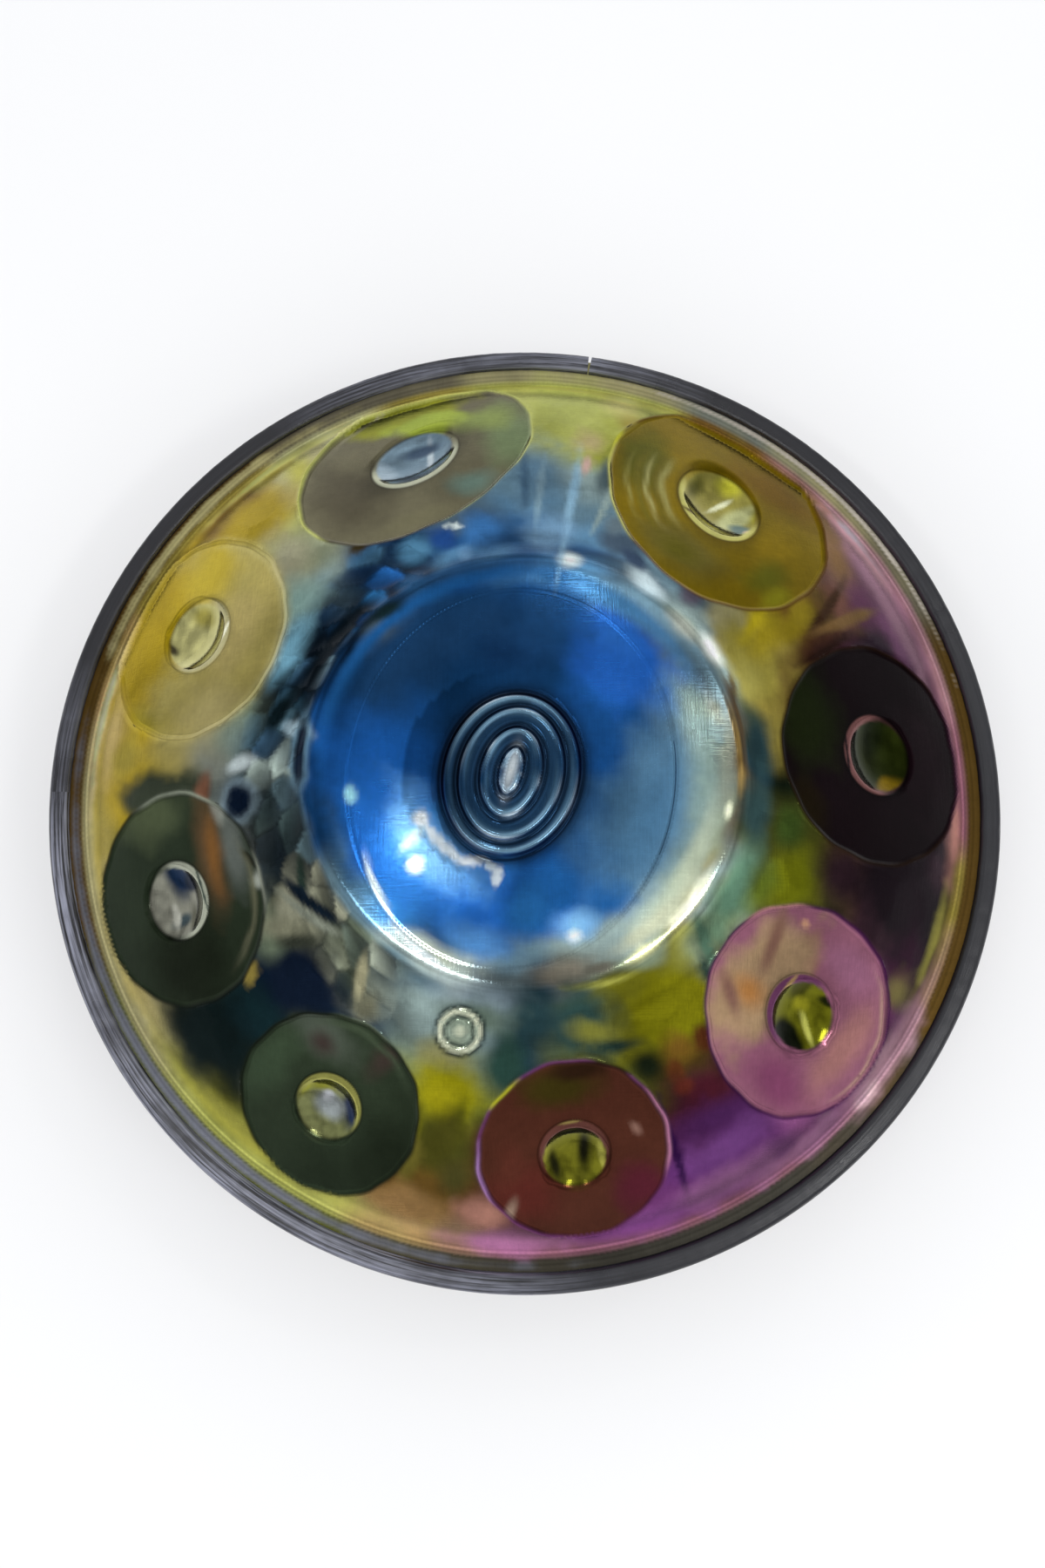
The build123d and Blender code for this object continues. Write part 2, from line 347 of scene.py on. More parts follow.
def press_field(number, points):
    """Presses one tone field, with its dimple, into points, and tells which of them it moved."""
    azimuth, distance, half_length, half_width, turn = tone_fields[number]
    outward = field_axes(azimuth, distance)[-1]
    u, v, above, _, edge = field_place(number, points)
    inside = fall(edge, -field_lip, 0.6)
    on = inside > 0
    u, v, above, inside = u[on], v[on], above[on], inside[on]
    depth = field_depth(distance, half_length, half_width)
    face = -depth - (u**2 + v**2) / (2 * field_face_radius)
    face = face + 0.10 * ripple(u, v, 46.0, 20 + number)
    face = face + dimple_height(u, v, half_length, half_width, turn)
    points[on] += np.outer((face - above) * inside, outward)
    return on


def centre_axes(x, y):
    """Coordinates along and across the centre note."""
    return turned(x - centre_offset[0], y - centre_offset[1], 90 - centre_turn)


def mound_axes(x, y):
    """Coordinates along and across the mound."""
    return turned(x - centre_offset[0], y - centre_offset[1], 90 - mound_turn)


def centre_face_top():
    """Height of the middle of the centre note."""
    drop = centre_half_length**2 * (1 / (2 * crown_radius) - 1 / (2 * centre_face_radius))
    return crown_top - drop - centre_step


def mound_height(x, y):
    """Height of the stepped mound above the centre note."""
    u, v = mound_axes(x, y)
    height = np.zeros(x.shape)
    for half_length, half_width in mound_steps:
        _, edge = oval(u, v, half_length, half_width)
        height += mound_rise * fall(edge, -mound_flank, 0.0)
        height += 0.34 * bell(edge + mound_flank + 0.6, 1.1)
        height -= 0.38 * bell(edge - 0.9, 1.1)
    share, _ = oval(u, v, *mound_steps[-1])
    return height + 0.45 * (1 - np.minimum(share, 1.0) ** 2)


def press_centre(x, y, points):
    """Presses the centre note's flat face and its mound into the points."""
    edge = oval(*centre_axes(x, y), centre_half_length, centre_half_width)[1]
    away = (x - centre_offset[0]) ** 2 + (y - centre_offset[1]) ** 2
    face = centre_face_top() - away / (2 * centre_face_radius)
    face = face + 0.05 * ripple(x, y, 34.0, 3)
    inside = fall(edge, -1.4, 0.5)
    points[:, 2] += (face - points[:, 2]) * inside - 0.12 * bell(edge + 0.5, 0.9)
    near = np.hypot(x, y) < 60
    points[near, 2] += mound_height(x[near], y[near])


def press_boss(x, y, points):
    """Raises the plain boss and its ring groove."""
    away = from_place(x, y, boss_azimuth, boss_circle)
    points[:, 2] += boss_rise * fall(away, boss_radius - 2.2, boss_radius)
    points[:, 2] -= 0.8 * bell(away - boss_radius * boss_groove, 1.2)


def playing_points(x, y):
    """Points of the playing side's outer face over plan positions x, y."""
    points = np.stack([x, y, dome_height(np.hypot(x, y))], 1)
    pressed = np.zeros(x.shape)
    for number, (azimuth, distance, *_) in enumerate(tone_fields):
        near = from_place(x, y, azimuth, distance) < field_reach
        some = points[near]
        mark = press_field(number, some)
        edge = field_place(number, points[near])[4]
        points[near] = some
        pressed[near] = np.maximum(np.maximum(pressed[near], mark), fall(edge, -0.5, 3.0))
    points[:, 2] += hammering(x, y) * (1 - pressed)
    press_centre(x, y, points)
    press_boss(x, y, points)
    points[:, 2] = np.minimum(points[:, 2], mound_top)
    return points


def playing_normals(x, y, step=0.12):
    """Normals of the outer face, from small steps either way."""
    along = playing_points(x + step, y) - playing_points(x - step, y)
    across = playing_points(x, y + step) - playing_points(x, y - step)
    normals = np.cross(along, across)
    return normals / np.linalg.norm(normals, axis=1, keepdims=True)


# ---------------------------------------------------------------- mesh points

def ring_points(radius, spacing, shift):
    """Plan points round the axis."""
    count = max(6, int(tau * radius / spacing))
    angles = (np.arange(count) + shift) * tau / count
    return np.stack([radius * np.cos(angles), radius * np.sin(angles)], 1)


def oval_rings(half_u, half_v, offsets, spacings):
    """Rings of points at given distances outside an ellipse, with a spacing for each ring."""
    rings = []
    for count, (offset, spacing) in enumerate(zip(offsets, spacings)):
        a, b = half_u + offset, half_v + offset
        if min(a, b) < 0.4:
            continue
        around = max(5, int(pi * (a + b) / spacing))
        angles = (np.arange(around) + 0.5 * (count % 2)) * tau / around
        rings.append(np.stack([a * np.cos(angles), b * np.sin(angles)], 1))
    return np.concatenate(rings)


def steps_between(start, end, spacing):
    """Evenly spaced values from start up to but not including end."""
    count = max(1, round((end - start) / spacing))
    return list(np.linspace(start, end, count, endpoint=False))


def field_points(number, coarse):
    """Plan points of one field: its bowl, dish, face and lip."""
    azimuth, distance, half_length, half_width, turn = tone_fields[number]
    a, b = half_length * dimple_share, half_width * dimple_share
    bowl = steps_between(-min(a, b), -1.5, 1.25 * coarse)
    lip = steps_between(-1.5, 2.0, 0.7 * coarse)
    dimple = oval_rings(a, b, bowl + lip, [1.4 * coarse] * len(bowl + lip))
    field_rings = steps_between(-(half_width - b) + 3.0, -5.0, 1.9 * coarse)
    edge_rings = steps_between(-5.0, 2.5, 0.8 * coarse)
    outer_rings = steps_between(2.5, field_margin, 2.2 * coarse)
    spacings = [2.0 * coarse] * len(field_rings) + [1.6 * coarse] * len(edge_rings)
    spacings += [2.3 * coarse] * len(outer_rings)
    face = oval_rings(half_length, half_width, field_rings + edge_rings + outer_rings, spacings)
    share, _ = oval(face[:, 0], face[:, 1], a + 3.0, b + 3.0)
    local = np.concatenate([dimple, face[share > 1]])
    u, v = turned(local[:, 0], local[:, 1], turn)
    origin, around, down, outward = field_axes(azimuth, distance)
    lift = np.zeros(len(local))
    for _ in range(6):
        points = origin + np.outer(u, around) + np.outer(v, down) + np.outer(lift, outward)
        lift += (dome_height(np.hypot(points[:, 0], points[:, 1])) - points[:, 2]) / outward[2]
    return points[:, :2]


def field_edges(plan):
    """Distance outside each field's edge, one column for each field."""
    r = np.hypot(plan[:, 0], plan[:, 1])
    points = np.column_stack([plan, dome_height(r)])
    columns = []
    for number in range(len(tone_fields)):
        _, _, half_length, half_width, _ = tone_fields[number]
        u, v, above, _, _ = field_place(number, points)
        edge = np.maximum(oval(u, v, half_length, half_width)[1], r - field_limit)
        columns.append(np.where(above < -60, 99.0, edge))
    return np.stack(columns, 1)


def centre_edge(plan):
    """Distance of plan points outside the centre note's edge."""
    return oval(*centre_axes(plan[:, 0], plan[:, 1]), centre_half_length, centre_half_width)[1]


def dome_points(coarse):
    """Plan points of the dome and the flange round the fields and the centre note."""
    rings = []
    radius, count = crown_edge, 0
    while radius < flange_root:
        if radius < shoulder_outer:
            radial, spacing = 1.4, 2.0
        elif radius < band_outer:
            radial, spacing = 1.8, 1.9
        elif radius < rim_start:
            radial, spacing = 1.9, 2.1
        else:
            radial, spacing = 0.8, 3.0
        rings.append(ring_points(radius, spacing * coarse, 0.5 * (count % 2)))
        radius += radial * coarse
        count += 1
    for number, radius in enumerate(steps_between(flange_root, flange_radius - 0.8, 0.95 * coarse)):
        rings.append(ring_points(radius, 3.4 * coarse, 0.5 * (number % 2)))
    dome = np.concatenate(rings)
    r = np.hypot(dome[:, 0], dome[:, 1])
    dome = dome[(field_edges(dome).min(1) > field_margin) | (r > rim_start)]
    return dome[(np.abs(centre_edge(dome)) > centre_margin) | (np.hypot(dome[:, 0], dome[:, 1]) > 115)]


def centre_points(coarse):
    """Plan points of the centre note's face and edge, and of the shoulder inside the first ring."""
    offsets = steps_between(-72, -3, 2.2 * coarse) + steps_between(-3, 3.2, 0.7 * coarse)
    face = oval_rings(centre_half_length, centre_half_width, offsets, [2.3 * coarse] * len(offsets))
    face = np.stack(turned(face[:, 0], face[:, 1], centre_turn - 90), 1) + centre_offset
    foot = [half + 3 for half in mound_steps[0]]
    face = face[oval(*mound_axes(face[:, 0], face[:, 1]), *foot)[0] > 1]
    inner = np.hypot(face[:, 0], face[:, 1]) < crown_edge - 1.2 * coarse
    face = face[inner | (np.abs(centre_edge(face)) < 3.3)]
    radii = steps_between(76, crown_edge, 2.3 * coarse)
    skirt = np.concatenate([ring_points(radius, 2.4 * coarse, 0.25) for radius in radii])
    return np.concatenate([face, skirt[centre_edge(skirt) > centre_margin]])


def mound_points(coarse):
    """Plan points of the stepped mound."""
    offsets = steps_between(-mound_steps[0][1] + 0.8, 2.6, 0.75 * coarse)
    mound = oval_rings(*mound_steps[0], offsets, [1.3 * coarse] * len(offsets))
    return np.stack(turned(mound[:, 0], mound[:, 1], mound_turn - 90), 1) + centre_offset


def plan_points(coarse):
    """Plan points of the whole playing side, closest where the shape turns quickly."""
    rim = ring_points(flange_radius, tau * flange_radius / rim_count, 0.0)
    fields = []
    for number in range(len(tone_fields)):
        plan = field_points(number, coarse)
        edges = field_edges(plan)
        others = np.delete(edges, number, 1).min(1)
        plan = plan[edges[:, number] < others - 0.8 * coarse]
        fields.append(plan[np.hypot(plan[:, 0], plan[:, 1]) < rim_start])
    return np.concatenate([rim, dome_points(coarse), centre_points(coarse), mound_points(coarse),
                           [centre_offset], *fields])


def triangulate(plan):
    """Triangles over plan points, wound so that they face up."""
    corners, _, faces, _, _, _ = delaunay_2d_cdt([Vector(p) for p in plan], [], [], 0, 1e-6, True)
    faces = np.array(faces)
    corners = np.array(corners)
    a, b, c = (corners[faces[:, k]] for k in range(3))
    area = (b - a)[:, 0] * (c - a)[:, 1] - (b - a)[:, 1] * (c - a)[:, 0]
    faces[area < 0] = faces[area < 0][:, ::-1]
    return corners, faces[np.abs(area) > 1e-7]


# ---------------------------------------------------------------- heat tints and painted reflections

tints = {
    "night": "#140c12", "bottle": "#141c12", "ink": "#0c1a2a", "navy": "#143c66", "abyss": "#123156",
    "teal": "#1f3640", "plum": "#3c1830", "violet": "#52245c", "iris": "#733b6b", "orchid": "#8c5080",
    "dusk": "#6a4556", "mauve": "#8a5a68", "rose": "#a98086", "umber": "#4a3818", "rust": "#4a221c",
    "bronze": "#6e5222", "amber": "#82640f", "gold": "#a48c1c", "brass": "#8e803a", "olive": "#6c6a18",
    "moss": "#474a1c", "lime": "#969a36", "straw": "#a4a658", "cream": "#b4b284", "khaki": "#98926a",
    "sand": "#a08558", "slate": "#4c5e68", "steel": "#64808c", "silver": "#8fa39f", "pearl": "#b8c8c0",
    "frost": "#dfead0", "denim": "#2c547e", "azure": "#3b8ad6", "royal": "#2264ba", "cobalt": "#184a84",
    "sky": "#5c90b8", "haze": "#547b98", "sage": "#7f8d72", "pewter": "#6e7268", "taupe": "#5f5a4a",
}

steel_gain = 1.2  # makes up for surroundings that are darker than white
dome_raggedness, field_raggedness = 0.16, 0.12  # how far the edges of patches wander
faded_field = 7  # the one whose edge melts into the dome round it

# Colour of the steel round the dome, every 15 degrees from +X, at some distances from the axis:
# heat tint and painted reflections together, the palest (frost, pearl) painted highlights
tint_rings = {
    260: "umber umber taupe khaki pewter khaki khaki taupe taupe umber umber umber "
         "umber umber moss moss moss #403c2e #37342c #34322c #34322c #3a352c umber umber",
    256: "mauve rose rose rose bronze straw straw brass cream brass brass sand "
         "khaki khaki khaki straw straw sand mauve mauve mauve mauve rose brass",
    246: "dusk dusk dusk bronze amber straw straw brass cream bronze gold gold "
         "brass brass khaki olive straw sand dusk iris violet orchid plum night",
    225: "night plum dusk amber amber lime straw straw khaki gold gold gold "
         "gold moss bottle bottle moss bronze rust violet violet orchid plum night",
    197: "night night umber bronze amber lime straw khaki khaki straw gold khaki "
         "brass bottle bottle bottle moss moss rust rust plum mauve mauve night",
    172: "bottle night bronze bronze gold silver steel slate khaki sage khaki khaki "
         "pewter bottle ink ink moss lime moss moss umber mauve moss umber",
    152: "bottle umber brass brass steel steel haze slate navy silver steel sage "
         "slate pewter sage ink slate sage teal olive olive bronze moss moss",
    131: "bottle brass khaki slate steel haze denim navy navy haze ink teal "
         "slate slate slate sage silver silver teal olive olive sage moss moss",
    120: "teal moss silver silver slate denim denim sky denim ink navy teal "
         "haze slate slate sage steel pearl teal olive olive straw sage moss",
    112: "bronze taupe silver sage haze sky denim denim denim ink ink cobalt "
         "navy navy steel steel pearl pearl teal pewter sage khaki silver taupe",
    104: "pewter pewter slate steel haze sky denim cobalt navy slate navy cobalt "
         "ink denim haze sky frost pearl slate pewter silver cream khaki sage",
    94: "pewter sage steel slate haze denim cobalt navy navy navy navy navy "
        "navy cobalt royal azure denim haze steel silver silver silver sage pewter",
    80: "slate slate haze denim royal cobalt navy abyss navy navy cobalt cobalt "
        "royal royal azure azure azure royal cobalt royal haze haze slate slate",
    63: "haze denim cobalt royal cobalt navy abyss abyss navy navy cobalt cobalt "
        "cobalt royal azure azure azure royal cobalt cobalt denim denim haze haze",
    44: "cobalt cobalt cobalt cobalt cobalt navy navy navy navy navy navy cobalt "
        "cobalt royal azure azure azure azure cobalt cobalt denim denim denim denim",
}

# Patches over the tints, heat tint and painted reflections together: the near-white ones are
# painted highlights, the near-black ones painted dark reflections. Columns: tint, azimuth, distance
# from the axis, half length round the axis, half length across, lean of the long axis, and softness
# of the edge
dome_patches = [
    # plateau, from the right round to the left
    ("#7d8f8c", 8, 92, 26, 9, 0, 0.9), ("#8c9282", 4, 103, 34, 5, 0, 0.8),
    ("#2159aa", 50, 74, 30, 23, 0, 0.4), ("#2a64b4", 58, 84, 12, 9, 10, 0.9),
    ("#4f86b4", 62, 101, 50, 5, 0, 0.8), ("#7c9fb0", 42, 108, 40, 4, 0, 0.8),
    ("#1d4674", 83, 76, 18, 22, 0, 0.7), ("#1d4168", 132, 84, 60, 16, 0, 0.9),
    ("#1e5790", 135, 105, 90, 3.5, 0, 0.9), ("#1d5fb0", 176, 78, 18, 26, 0, 0.9),
    ("#2468bc", -162, 80, 26, 15, 0, 0.9), ("#2f78d0", -146, 70, 16, 12, 20, 0.9),
    ("#2463b4", -116, 76, 30, 15, 0, 0.9), ("#4f88c4", -106, 92, 12, 7, 0, 0.9),
    ("#4490e0", -144, 66, 24, 14, 10, 0.9), ("#3478c8", -112, 60, 12, 10, 0, 0.9),
    ("#557c98", -8, 74, 30, 16, 0, 0.9), ("#7d9288", -12, 91, 36, 9, 0, 0.9),
    # painted highlights: the bright zig-zag on the plateau's lower left, and its halo
    ("#84c0f2", -141, 64, 24, 10, 0, 0.95), ("#f2fbff", -153, 58.5, 4.5, 4, -20, 0.4),
    ("#e8f6ff", -138, 58.0, 15, 2.6, 0, 0.3), ("#eef8ff", -119, 55, 7.5, 2.4, -38, 0.3),
    ("#dceefa", -109, 53.5, 6.5, 2.2, 24, 0.3), ("#e8f6ff", -104, 57.5, 2.4, 5, 0, 0.3),
    ("#f4fcff", -138, 74.5, 4.2, 4.6, 0, 0.4), ("#c8eaf8", -147, 68, 2.8, 8, -12, 0.5),
    ("#a4e4f2", -171, 90, 4, 2.6, 0, 0.6),
    ("#1b528c", -78, 66, 18, 13, 0, 0.6), ("#1f5c9c", -58, 78, 12, 10, 20, 0.6),
    ("#205a92", -90, 74, 10, 12, 0, 0.7), ("#7fb8e6", -72, 84, 9, 6, 15, 0.9),
    ("#e4f4ff", -74, 89, 3.0, 2.6, 0, 0.8), ("#4a7494", -25, 68, 30, 18, 0, 0.9),
    ("#a9b49c", -33, 98, 30, 5, 0, 0.8), ("#b7bca0", -50, 103, 22, 4, 0, 0.8),
    # rim of the plateau, mostly painted highlight arcs and spots
    ("#e9f7f2", 78, 115, 5, 4.5, 0, 0.8), ("#c8dce0", 57, 120, 11, 4.5, 12, 0.8),
    ("#f2f8ee", 33, 116.5, 8, 4.5, 6, 0.8), ("#c3cabb", 42, 112, 10, 4, 0, 0.8),
    ("#5f4c34", 12, 113.5, 24, 1.3, 0, 0.6), ("#a98a4c", 9, 110.5, 18, 1.0, 0, 0.6),
    ("#443a30", 22, 117, 8, 2.0, 15, 0.6), ("#b99b5c", -3, 111, 8, 1.6, 0, 0.6),
    ("#f4f6d8", -38, 108, 17, 2.4, 0, 0.8), ("#e8e8a8", -57, 111, 9, 2.2, 0, 0.8),
    ("#eef4d0", -12, 106, 4, 1.6, 0, 0.8), ("#a6a64c", -72, 115, 16, 1.8, 8, 0.6),
    ("#8b8474", -80, 106, 14, 5, 0, 0.8), ("#6c6a5e", -70, 108, 8, 3, 10, 0.6),
    ("#eaf8fa", -119, 107, 16, 1.8, 10, 0.8), ("#dff0f4", -141, 97, 14, 1.5, 14, 0.8),
    ("#b4c4c0", -108, 114, 9, 4, 12, 0.8), ("#8496a0", -100, 119, 20, 6, 0, 0.9),
    # between the lowest notes
    ("#a3a854", 84, 228, 22, 26, 0, 0.9), ("#b6b06a", 76, 246, 10, 8, 0, 0.9),
    ("#8f9340", 88, 214, 14, 12, 0, 0.9), ("#a89a68", 79, 204, 8, 8, 0, 0.9),
    ("#5f8198", 88, 172, 12, 24, 0, 0.9), ("#7b99a8", 87, 160, 2.0, 26, 3, 0.6),
    ("#46647c", 90, 168, 2.2, 20, -2, 0.6), ("#8fb8d0", 80.5, 148, 2.4, 34, 0, 0.6),
    ("#c9a79c", 79, 184, 2.4, 6, 0, 0.8), ("#4c5d60", 75, 178, 5, 14, 0, 0.6),
    ("#8ca09c", 73.5, 160, 2.0, 20, 8, 0.6), ("#3b4a58", 67, 137, 13, 9, -10, 0.6),
    ("#2f3d50", 63, 130, 8, 4, 20, 0.5), ("#5c6c74", 70, 147, 6, 5, 0, 0.6),
    ("#6f93b0", 84, 132, 12, 10, 0, 0.9), ("#57525e", 47, 131, 6, 6, 20, 0.6),
    # right of the plateau
    ("#99936a", 39, 136, 9, 9, 20, 0.6), ("#8b8138", 27, 134, 23, 14, 0, 0.4),
    ("#9a9248", 22, 127, 12, 6, 10, 0.9), ("#243c40", 6, 122, 18, 8, 0, 0.7),
    ("#8f7f1c", 31, 152, 9, 16, -25, 0.7), ("#a8971c", 34, 150, 4, 14, -25, 0.8),
    ("#8c7a1c", 30, 172, 7, 16, -25, 0.6), ("#4a2c20", 24, 184, 9, 26, -6, 0.6),
    ("#6c463a", 29, 207, 14, 9, 10, 0.6), ("#3a1828", 22, 196, 8, 16, 0, 0.7),
    ("#5c2f4c", 27, 222, 18, 9, 6, 0.7), ("#7d4a70", 22, 232, 24, 7, 0, 0.7),
    ("#2a1226", 21, 215, 13, 12, 10, 0.5), ("#3a2412", 30, 197, 3.2, 25, -25, 0.5),
    ("#7a5c34", 27, 203, 3.6, 26, 0, 0.5), ("#2c1812", 23.5, 180, 2.6, 20, -10, 0.6),
    ("#a5788c", 28, 244, 44, 9, 0, 0.7), ("#b58c94", 36, 249, 30, 5, 0, 0.6),
    # below the darkest field
    ("#6e7212", -22, 150, 18, 15, 10, 0.6), ("#5c8068", -30, 124, 26, 10, 0, 0.7),
    ("#5a6820", -26, 136, 12, 6, 5, 0.9), ("#2d4444", -10, 121, 16, 9, 0, 0.7),
    ("#3d5020", -12, 141, 10, 8, 0, 0.7), ("#2c1c22", -17, 178, 16, 16, 0, 0.7),
    ("#170e14", -17, 214, 36, 26, 0, 0.6), ("#8d8640", -21, 247, 26, 3.0, 0, 0.6),
    ("#a6766c", -6, 249, 20, 5, 0, 0.8), ("#6c6238", -29, 238, 8, 8, 0, 0.9),
    ("#a4808c", -38, 252, 34, 8, 0, 0.7), ("#c4a8a8", -42, 256, 8, 3, 0, 0.8),
    # between the two pink and rust fields
    ("#77740f", -59, 138, 21, 14, -6, 0.4), ("#8a8a14", -55, 143, 9, 8, 0, 0.7),
    ("#2a423e", -78, 132, 18, 18, 0, 0.6),
    ("#7c7c34", -75, 138, 13, 5, 20, 0.8), ("#22342e", -72, 148, 12, 3, 10, 0.8),
    ("#4e6c58", -44, 128, 3, 14, 25, 0.5), ("#2c4038", -48, 138, 3, 9, 25, 0.8),
    ("#22383c", -88, 128, 14, 16, 0, 0.7),
    ("#827f12", -57.5, 146, 22, 16, -6, 0.25), ("#7a5a20", -61, 163, 9, 7, 15, 0.8),
    ("#5a3018", -56, 165, 5, 8, 0, 0.5), ("#1c2416", -67.5, 163, 8, 7, 10, 0.7),
    ("#64381c", -63, 173, 4, 7, 0, 0.5), ("#4c1c28", -60, 190, 16, 12, 0, 0.7),
    ("#642c22", -63, 182, 5, 4, 0, 0.6), ("#46204e", -60, 207, 22, 9, 10, 0.85),
    ("#6c3c78", -61, 224, 26, 9, 0, 0.85), ("#8c4c90", -74, 246, 34, 7, 0, 0.9),
    ("#2a0c38", -68, 212, 2.2, 26, 3, 0.45), ("#94608a", -62, 244, 30, 8, 0, 0.9),
    ("#4c1450", -50, 222, 5, 9, -20, 0.5), ("#a07090", -50, 252, 30, 5, 0, 0.8),
    # below the boss
    ("#5c6c60", -101, 128, 16, 8, 0, 0.7), ("#8c8a5c", -106, 152, 12, 8, 0, 0.7),
    ("#8f8a10", -104, 170, 18, 15, 0, 0.5), ("#a49c18", -105, 173, 10, 9, 0, 0.9),
    ("#5c5c14", -101, 186, 3.5, 13, 6, 0.6), ("#77751a", -107, 190, 3, 12, -4, 0.6),
    ("#264038", -94, 152, 10, 14, 0, 0.6), ("#4a4818", -103, 196, 13, 16, 0, 0.6),
    ("#4a4620", -100, 214, 8, 10, 0, 0.8), ("#6c6428", -107, 208, 5, 12, 0, 0.6),
    ("#a88250", -106, 236, 20, 9, 0, 0.7), ("#b07c6c", -96, 232, 12, 9, 0, 0.7),
    ("#a0688c", -92, 250, 26, 6, 0, 0.7),
    # left
    ("#8d8a3a", -130, 246, 70, 6.5, 0, 0.7), ("#9c8f58", -157, 244, 44, 7, 0, 0.7),
    ("#0f1c1c", -141, 218, 26, 26, 0, 0.5), ("#13282c", -138, 190, 20, 14, 0, 0.7),
    ("#101a2a", -137, 158, 20, 17, -12, 0.4), ("#8c7c3c", -144, 178, 6, 3, 60, 0.5),
    ("#a3a38a", -150, 139, 11, 8, 15, 0.4), ("#2c3c34", -154, 128, 12, 2.4, 20, 0.5),
    ("#9c9878", -128, 136, 3, 14, -30, 0.5), ("#6c6c58", -124, 146, 6, 8, 0, 0.7),
    ("#b09a5c", 173, 240, 26, 7, 0, 0.7), ("#9a8a34", 176, 228, 10, 10, 0, 0.7),
    ("#c9b98c", 168, 252, 40, 3, 0, 0.8), ("#2c3226", -178, 200, 13, 29, 0, 0.4),
    ("#6a4836", -177, 173, 11, 4, 12, 0.5),
    ("#5a5c64", -141, 262.5, 190, 2.6, 0, 0.5), ("#b4aca0", 47, 264.4, 110, 1.2, 0, 0.4),
    ("#a8a070", 140, 261.5, 90, 2.4, 0, 0.5),
    # upper left
    ("#a08a1e", 135, 222, 20, 20, 0, 0.7), ("#98967a", 137, 182, 20, 18, 0, 0.9),
    ("#7d9a92", 143, 156, 18, 11, 0, 0.9), ("#a8a44a", 125, 234, 9, 16, 12, 0.9),
    ("#8c8030", 129, 246, 14, 5, 0, 0.5), ("#bdb56a", 128, 251, 40, 3, 0, 0.8),
    ("#6fa0b4", 152, 144, 18, 7, 0, 0.9), ("#3f3620", 126, 156, 5, 3, 20, 0.5),
    ("#44708c", 116, 136, 9, 7, 20, 0.8), ("#2c5c88", 121, 117, 7, 5, 0, 0.8),
    ("#7cacd4", 105, 122, 3, 3.4, 30, 0.9), ("#1b3c70", 109, 136, 7, 8, 0, 0.5),
    ("#35679c", 100, 133, 10, 12, 0, 0.7), ("#c8d4d0", 106, 142, 5, 1.6, 20, 0.6),
    ("#08141c", 146, 122, 36, 7, 0, 0.6), ("#16282c", 131, 111, 10, 4, 10, 0.6),
    ("#b4c0c0", 178, 152, 4, 7, -15, 0.6), ("#0c181c", 166, 134, 14, 5, 20, 0.5),
    ("#a9c2cc", 170, 120, 4, 7, 10, 0.6),
    # the largest hammer marks, on the left, as painted light and dark reflections
    ("#8296a0", -174.5, 151.5, 11.5, 10.5, 0, 0.35), ("#0e1a2c", -174.5, 151.5, 9, 8, 0, 0.35),
    ("#5f7f92", 176, 117, 20, 5.5, 0, 0.4), ("#0f1b2b", 176, 117, 18, 3.4, 0, 0.4),
    ("#8a8a72", -147, 149, 6, 14, 34, 0.8), ("#34382f", -143.5, 148, 3.0, 12, 34, 0.9),
    ("#8e9484", -146, 134, 18, 2.4, -22, 0.6), ("#14202c", -148, 129.5, 21, 3.2, -22, 0.45),
]

# Broad painted shade and light, for darker and brighter reflections: factor, azimuth, distance from
# the axis, half length round and half length across
dome_shades = [
    (0.62, -160, 142, 48, 26), (0.62, 20, 205, 36, 50), (0.58, -48, 247, 200, 9),
    (0.62, 108, 118, 46, 12), (0.55, 20, 104, 42, 11), (1.45, 62, 128, 36, 16),
    (0.62, -88, 110, 34, 9), (0.78, 105, 76, 80, 30), (0.75, -160, 72, 44, 30),
    (0.8, -145, 190, 40, 40), (0.75, 24, 240, 70, 14), (1.25, 22, 135, 26, 16),
    (1.2, -25, 128, 30, 18), (0.8, -120, 60, 40, 10), (1.15, -72, 66, 22, 16),
    (0.85, -15, 62, 30, 18), (1.3, 110, 135, 30, 14), (0.62, -158, 107, 46, 5),
    (0.68, -158, 121, 46, 6), (0.72, -112, 107, 46, 5), (0.78, -112, 86, 34, 10),
    (0.75, -22, 52, 20, 9), (0.66, 22, 106, 36, 4.5), (1.2, 22, 118, 36, 6), (0.72, 67, 100, 36, 6),
    (0.66, 67, 121, 38, 5), (0.66, 157, 100, 40, 6), (0.8, 157, 112, 36, 6), (0.66, 157, 121, 40, 6),
    (1.3, 22, 150, 50, 10), (0.78, 26, 222, 50, 22), (0.75, -157, 230, 60, 10),
    (0.82, -67, 247, 100, 8), (1.25, 45, 253, 200, 3.5), (0.85, -25, 195, 60, 30),
    (0.85, 150, 72, 60, 32), (0.8, 67, 121, 38, 5),
]

# Shade along the rim: distance from the axis, and the share of light left there
rim_shades = [(250.0, 1.0), (253.0, 1.12), (255.6, 1.0), (256.9, 0.62), (258.2, 1.0), (259.6, 0.70),
              (260.8, 0.95), (262.1, 0.72), (263.3, 1.0), (264.5, 0.90), (266.5, 0.80)]

# Tints of the hammer marks, heat tint and painted reflections together: where each palette starts,
# and what it holds
mark_tints = [
    (112, ["#0d2238", "#16467c", "#0a1620", "#4a7896", "#1c3c5c", "#2a6aa0", "#0c1c30"]),
    (150, ["#0c1722", "#22384a", "#46626e", "#0c1824", "#2c4858", "#6c8894", "#14222e"]),
    (176, ["#3c4c50", "#1c2830", "#7a867e", "#2a383c", "#10181e", "#8e9888", "#2c3836"]),
    (205, ["#64685a", "#3c443e", "#7a7a66", "#2c3432", "#545c4c", "#444434", "#7a7e6a"]),
]
